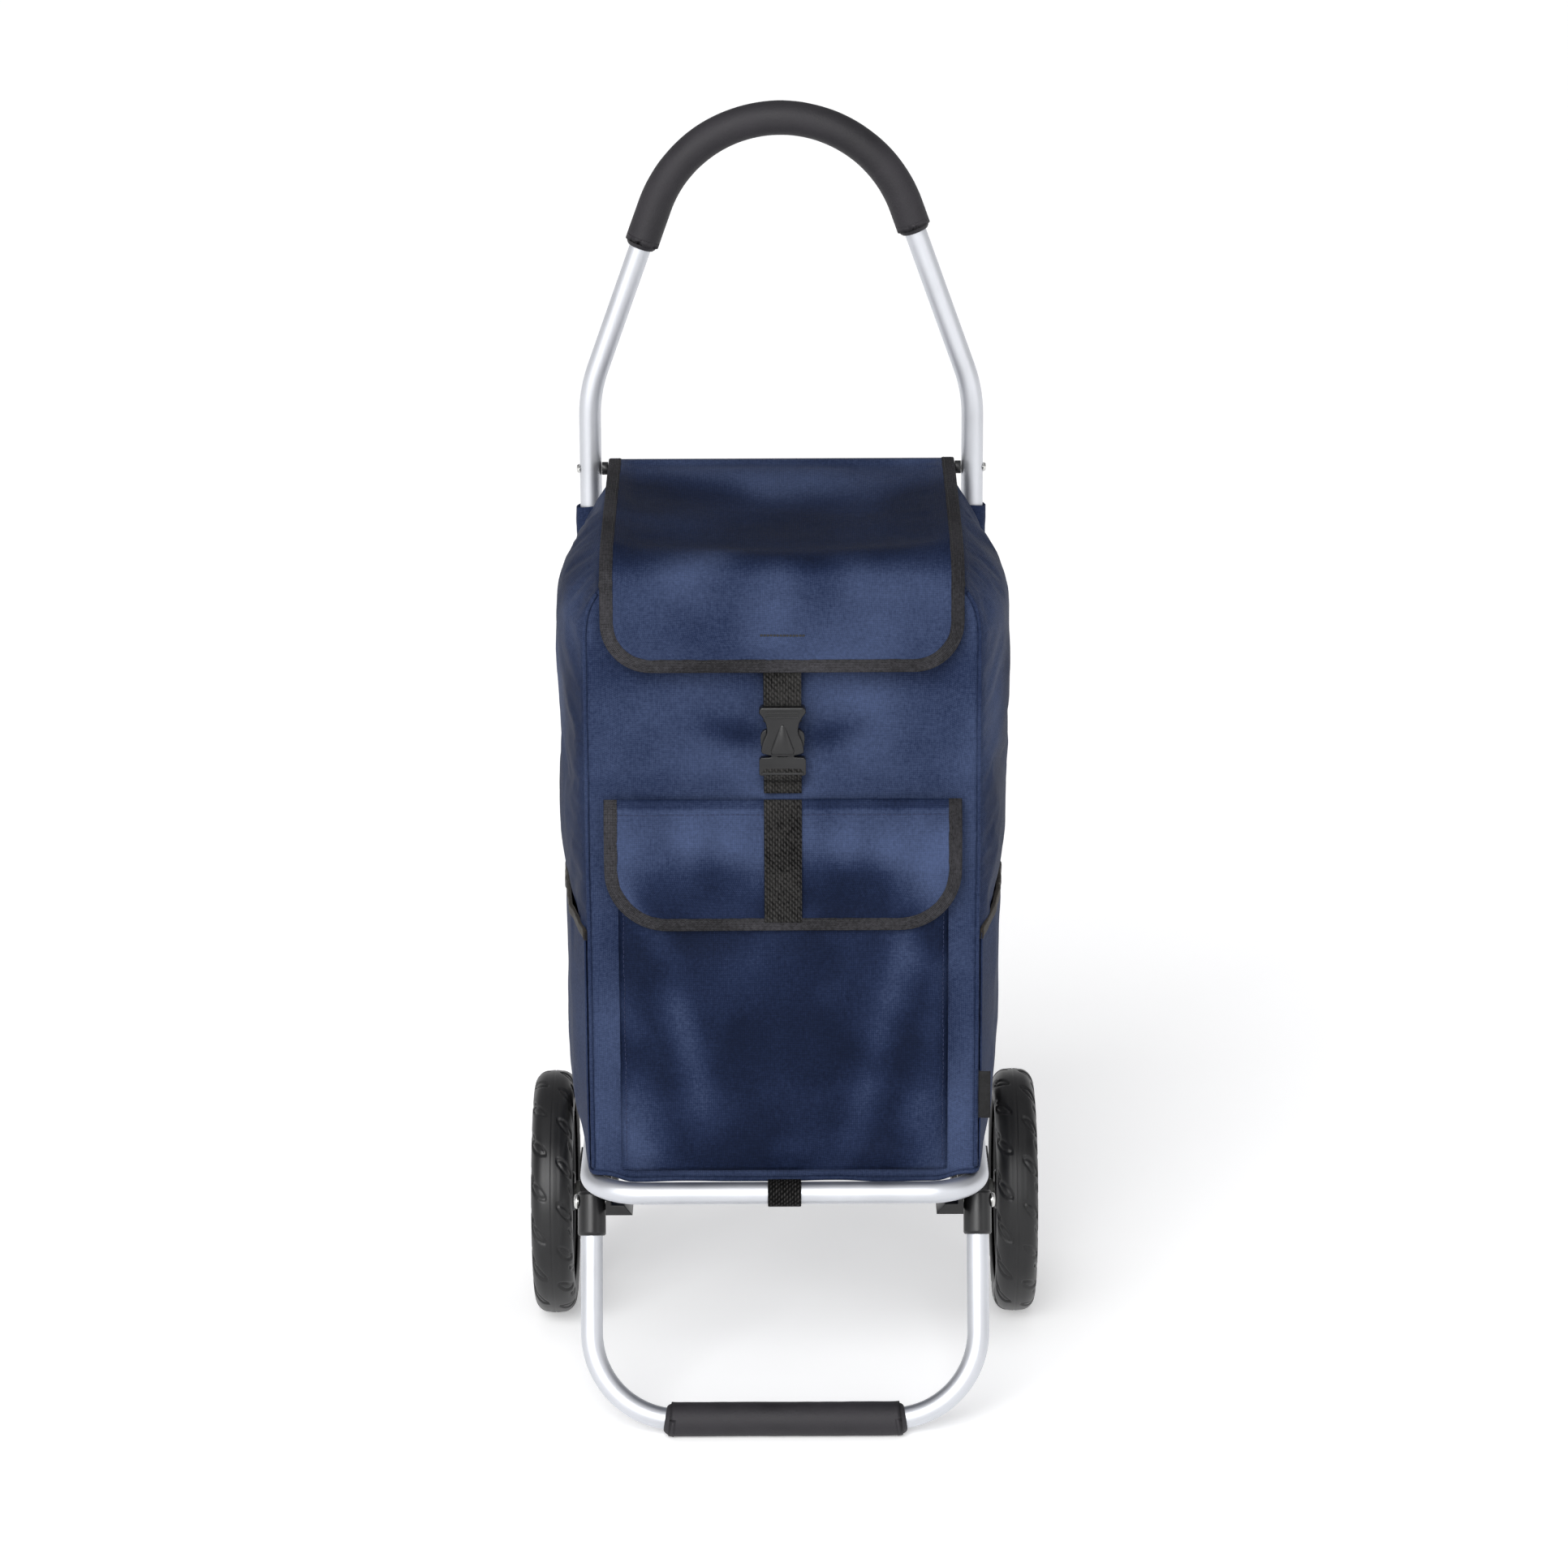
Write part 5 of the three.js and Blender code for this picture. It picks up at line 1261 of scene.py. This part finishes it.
flap_path = [
    (BAG_FRONT_Y - 4.5, FLAP_TOP), (BAG_FRONT_Y - 16, FLAP_TOP - 28), (BAG_FRONT_Y - 16.5, FLAP_EDGE_Z)
]
flap_points, flap_length, flap_inside = cloth_sheet(flap_path, 10, FLAP_X - 0.8, FLAP_CORNER_R, flap_wrinkle)
flap, flap_points, across, down = settle_sheet("pocket_flap_cloth", flap_points, flap_inside, 2.5, 0.1)
keep_in_front(flap, flap_points, BAG_FRONT_Y - 12.8, 1 - smoothstep(flap_points[..., 2], 500, 515))
flap_normals = surface_normals(flap_points, (0, -1, 0.2))
# painted shading on the flap: a painted shade band in the fold at the top, painted shade below an arched line, and
# random mottling
spots = flat_spots(across * 140, down * 100)
arch = 0.36 + 0.34 * ((np.abs(across) - 0.36) / 0.5) ** 2 + 0.08 * noise(spots * vec(1, 1, 0.2), 30, 93)
shade = smoothstep(down, arch - 0.10, arch + 0.30) * (1 - 0.5 * smoothstep(down, 0.82, 1.0))
painted_top_fold_shade = 1 - smoothstep(down, 0.07, 0.09)
mottle = noise(spots @ np.array([[1, 0, 0.7], [0, 1, 0], [-0.6, 0, 0.8]]), 30, 94)
paint_shading(flap, 0.55 - 0.75 * painted_top_fold_shade - 1.35 * shade + 0.5 * mottle)
thick(face_out(flap), 1.2, 0.0)
bag_piece(flap, CLOTH, "pocket_flap", ["pocket_flap_panel"])
flap_edging = bind("pocket_flap_tape", flap_points, flap_normals, "pocket_flap", ["pocket_flap_binding"])
line = flap_points[4] + flap_normals[4] * 0.8
obj = stitch_object("pocket_flap_top_stitches", line[2:-2], flap_normals[4][2:-2])
bag_piece(obj, THREAD_NAVY, "pocket_flap")


# ---- straps ----
def strap(name, spots, body, nodes=()):
    """A flat strap through (y, z) points on the middle of the front, top first."""
    spots = np.array(spots, float)
    far = distances(spots)
    stops = np.linspace(0, far[-1], max(6, int(far[-1] / 2.5)))
    centre = np.column_stack([0 * stops, along_line(stops, far, spots)])
    for _ in range(4):
        centre[1:-1] = (centre[:-2] + 2 * centre[1:-1] + centre[2:]) / 4
    rings = ribbon_rings(centre, (1, 0, 0), STRAP_HALF)
    rings[..., 1] += 0.25 * noise(rings, 22, 96)
    bag_piece(solid(name, rings), WEBBING, body, nodes)


front = BAG_FRONT_Y
lid_strap = [(front - 4.4, 668), (front - 5.5, 640), (front - 6.5, 622), (front - 8.5, 604), (front - 8.5, 598)]
strap("lid_strap_webbing", lid_strap, "lid", ["lid_strap"])
strap("anchor_webbing", [(front - 2.6, z) for z in (554, 545, 537.5)], "frame", ["anchor_strap"])
under_strap = flap_points[:, 30:51]
over_flap = zip(under_strap[..., 1].min(axis=1) - 1.7, under_strap[..., 2].mean(axis=1))
over_flap = [(y, z) for y, z in over_flap if z > FLAP_EDGE_Z + 5]
strap("pocket_strap_webbing", over_flap, "pocket_flap", ["pocket_strap"])
plug_loop = [(front - 9.5, 561.5), (front - 13.6, 558.5), (front - 13.2, 555), (front - 10.0, 551), (front - 7.6, 549)]
strap("plug_webbing_loop", plug_loop, "buckle_plug_body")

angles = np.linspace(0, 2 * math.pi, 40)
tube_middle = vec(0, PLATFORM_FRONT_Y, PLATFORM_Z)
loop = tube_middle + 10.4 * np.stack([0 * angles, np.cos(angles), np.sin(angles)], 1)
obj = solid("base_strap_webbing", ribbon_rings(loop, (1, 0, 0), 13.5, unit(loop - tube_middle)), cap=False)
finish_piece(obj, WEBBING, "platform", ["base_strap"])


# ---- buckle ----
def moulding(name, outline, y0, y1, edge, body, nodes=(), segments=2, angle=32):
    """A moulded plate between two depths in front of the bag, with rounded edges."""
    obj = bevelled(outline_plate(name, outline, front + y0, front + y1), edge, segments, angle)
    bag_piece(obj, PLASTIC, body, nodes)


WING, WAIST = 18.5, 11.5
top, base = BUCKLE_TOP, BUCKLE_BASE
socket = curve_points(
    (-WING + 3, top),
    [
        (WING - 3, top), (WING, top, WING, top - 5), (WAIST, top - 12, WAIST + 1, top - 22),
        (WING - 2, top - 28, WING - 1.5, top - 37.5), (0, top - 43.5, -WING + 1.5, top - 37.5),
        (-WING + 2, top - 28, -WAIST - 1, top - 22), (-WAIST, top - 12, -WING, top - 5), (-WING, top, -WING + 3, top),
    ],
)[:-1]
moulding("buckle_socket_shell", socket, -14.5, -3.2, 1.6, "lid", ["buckle_socket"], 3, 50)
# a raised bullet on the socket's face, and ribs on its upper bar
bullet = []
for t in np.linspace(0, 1, 20):
    half = 1.0 + 8.4 * min(1, t * 1.12) ** 0.85
    rise = 0.4 + 3.0 * math.sin(min(1, t * 1.3) * math.pi / 2)
    if t > 0.9:
        half, rise = half * 0.97, rise * 0.6
    z = mix(top - 14, top - 38, t)
    bullet.append([(half * math.cos(a), front - 14.2 - rise * math.sin(a), z) for a in np.linspace(0, math.pi, 16)])
bag_piece(solid("buckle_socket_bullet", np.array(bullet)), PLASTIC, "lid")
for index, z in enumerate((top - 4.5, top - 8.0)):
    rib = [(-13, z - 0.7), (13, z - 0.7), (13, z + 0.7), (-13, z + 0.7)]
    moulding(f"buckle_socket_rib_{index + 1}", rib, -15.3, -14.0, 0.4, "lid")

plug = [
    (-WING, base + 1.5), (-WING + 1.5, base), (WING - 1.5, base), (WING, base + 1.5), (WING, base + 13),
    (WING - 1.5, base + 15), (9, base + 15.5), (9.3, base + 34), (5, base + 39), (4, base + 16), (-4, base + 16),
    (-5, base + 39), (-9.3, base + 34), (-9, base + 15.5), (-WING + 1.5, base + 15), (-WING, base + 13),
]
moulding("buckle_plug_body_shell", plug, -11.3, -4.2, 0.8, "buckle_plug_body", ["buckle_plug"], 3)
for side, name in ((-1, "left"), (1, "right")):
    prong = [(side * 17.6, top - 20, side * 17.4, top - 27), (side * 17.0, top - 33), (side * 12.4, top - 30)]
    prong = curve_points((side * 12.4, top - 19), prong)
    moulding("buckle_prong_" + name, prong, -11, -5.5, 0.7, "buckle_plug_body")
bar = [(-WING + 2, base + 1.2), (WING - 2, base + 1.2), (WING - 2, base + 3.2), (-WING + 2, base + 3.2)]
moulding("buckle_plug_bar", bar, -12.9, -10.5, 0.6, "buckle_plug_body")

# ---- small label in the right-hand seam ----
s, v = np.meshgrid(np.linspace(0, 1, 8), np.linspace(0, 1, 20))
tag = np.stack([mix(157, 166.5, s), BAG_FRONT_Y - 2.6 - 1.2 * np.sin(s * math.pi * 0.8), mix(263, 303, v)], 2)
bag_piece(thick(grid_object("seam_label", tag), 0.5, 0.0), LABEL, "frame")

# ---- studio ----
floor_mesh = bpy.data.meshes.new("floor")
floor_mesh.from_pydata([(-40, -20, 0), (40, -20, 0), (40, 60, 0), (-40, 60, 0)], [], [(0, 1, 2, 3)])
floor_paint, _, _ = new_material(
    "studio_floor", (0.92, 0.92, 0.92), 0.9, specular_ior_level=0.1, emission_color=(1, 1, 1, 1), emission_strength=0.3
)
floor_mesh.materials.append(floor_paint)
linked("floor", floor_mesh)

world = bpy.data.worlds.new("studio")
bpy.context.scene.world = world
world.use_nodes = True
sky = world.node_tree
background = sky.nodes["Background"]
direction = add_node(sky, "TexCoord", "Generated")
WHITE, DIM, DIMMEST = (1.0, 1.0, 1.0), (0.34, 0.34, 0.35), (0.30, 0.30, 0.31)
above = add_node(sky, "SeparateXYZ", "Z", Vector=direction)
sky_colour = colour_ramp(sky, above, [(0.0, WHITE), (0.13, WHITE), (0.3, DIMMEST), (1.0, DIM)])
sky.links.new(sky_colour, background.inputs["Color"])
background.inputs["Strength"].default_value = 1.0


def softbox(name, at, look, width, height, power):
    light = bpy.data.lights.new(name, "AREA")
    light.shape = "RECTANGLE"
    light.size, light.size_y = width, height
    light.energy = power
    obj = linked(name, light)
    obj.location = at
    obj.rotation_euler = (Vector(look) - Vector(at)).to_track_quat("-Z", "Y").to_euler()


sun = bpy.data.lights.new("ceiling", "SUN")
sun.angle = math.radians(40)
sun.energy = 2.6
linked("ceiling", sun).rotation_euler = (math.radians(58), 0, math.radians(-14))
softbox("top_softbox", (0, -0.4, 3.2), (0, 0, 0.6), 2.4, 2.0, 6)
softbox("left_softbox", (-2.4, -2.2, 1.6), (0, 0, 0.6), 1.2, 2.4, 14)
softbox("right_softbox", (2.4, -2.0, 1.4), (0, 0, 0.6), 1.1, 2.4, 10)

camera = bpy.data.cameras.new("camera")
camera.sensor_width = 36
camera.lens = 113.4
camera.clip_end = 200
view = linked("camera", camera)
view.location = (0.001, -3.905, 1.659)
view.rotation_euler = (math.radians(73.47), 0, 0)
bpy.context.view_layer.update()
view.rotation_euler.rotate_axis("Z", math.radians(-0.25))
bpy.context.scene.camera = view
bpy.context.scene.view_settings.view_transform = "Standard"
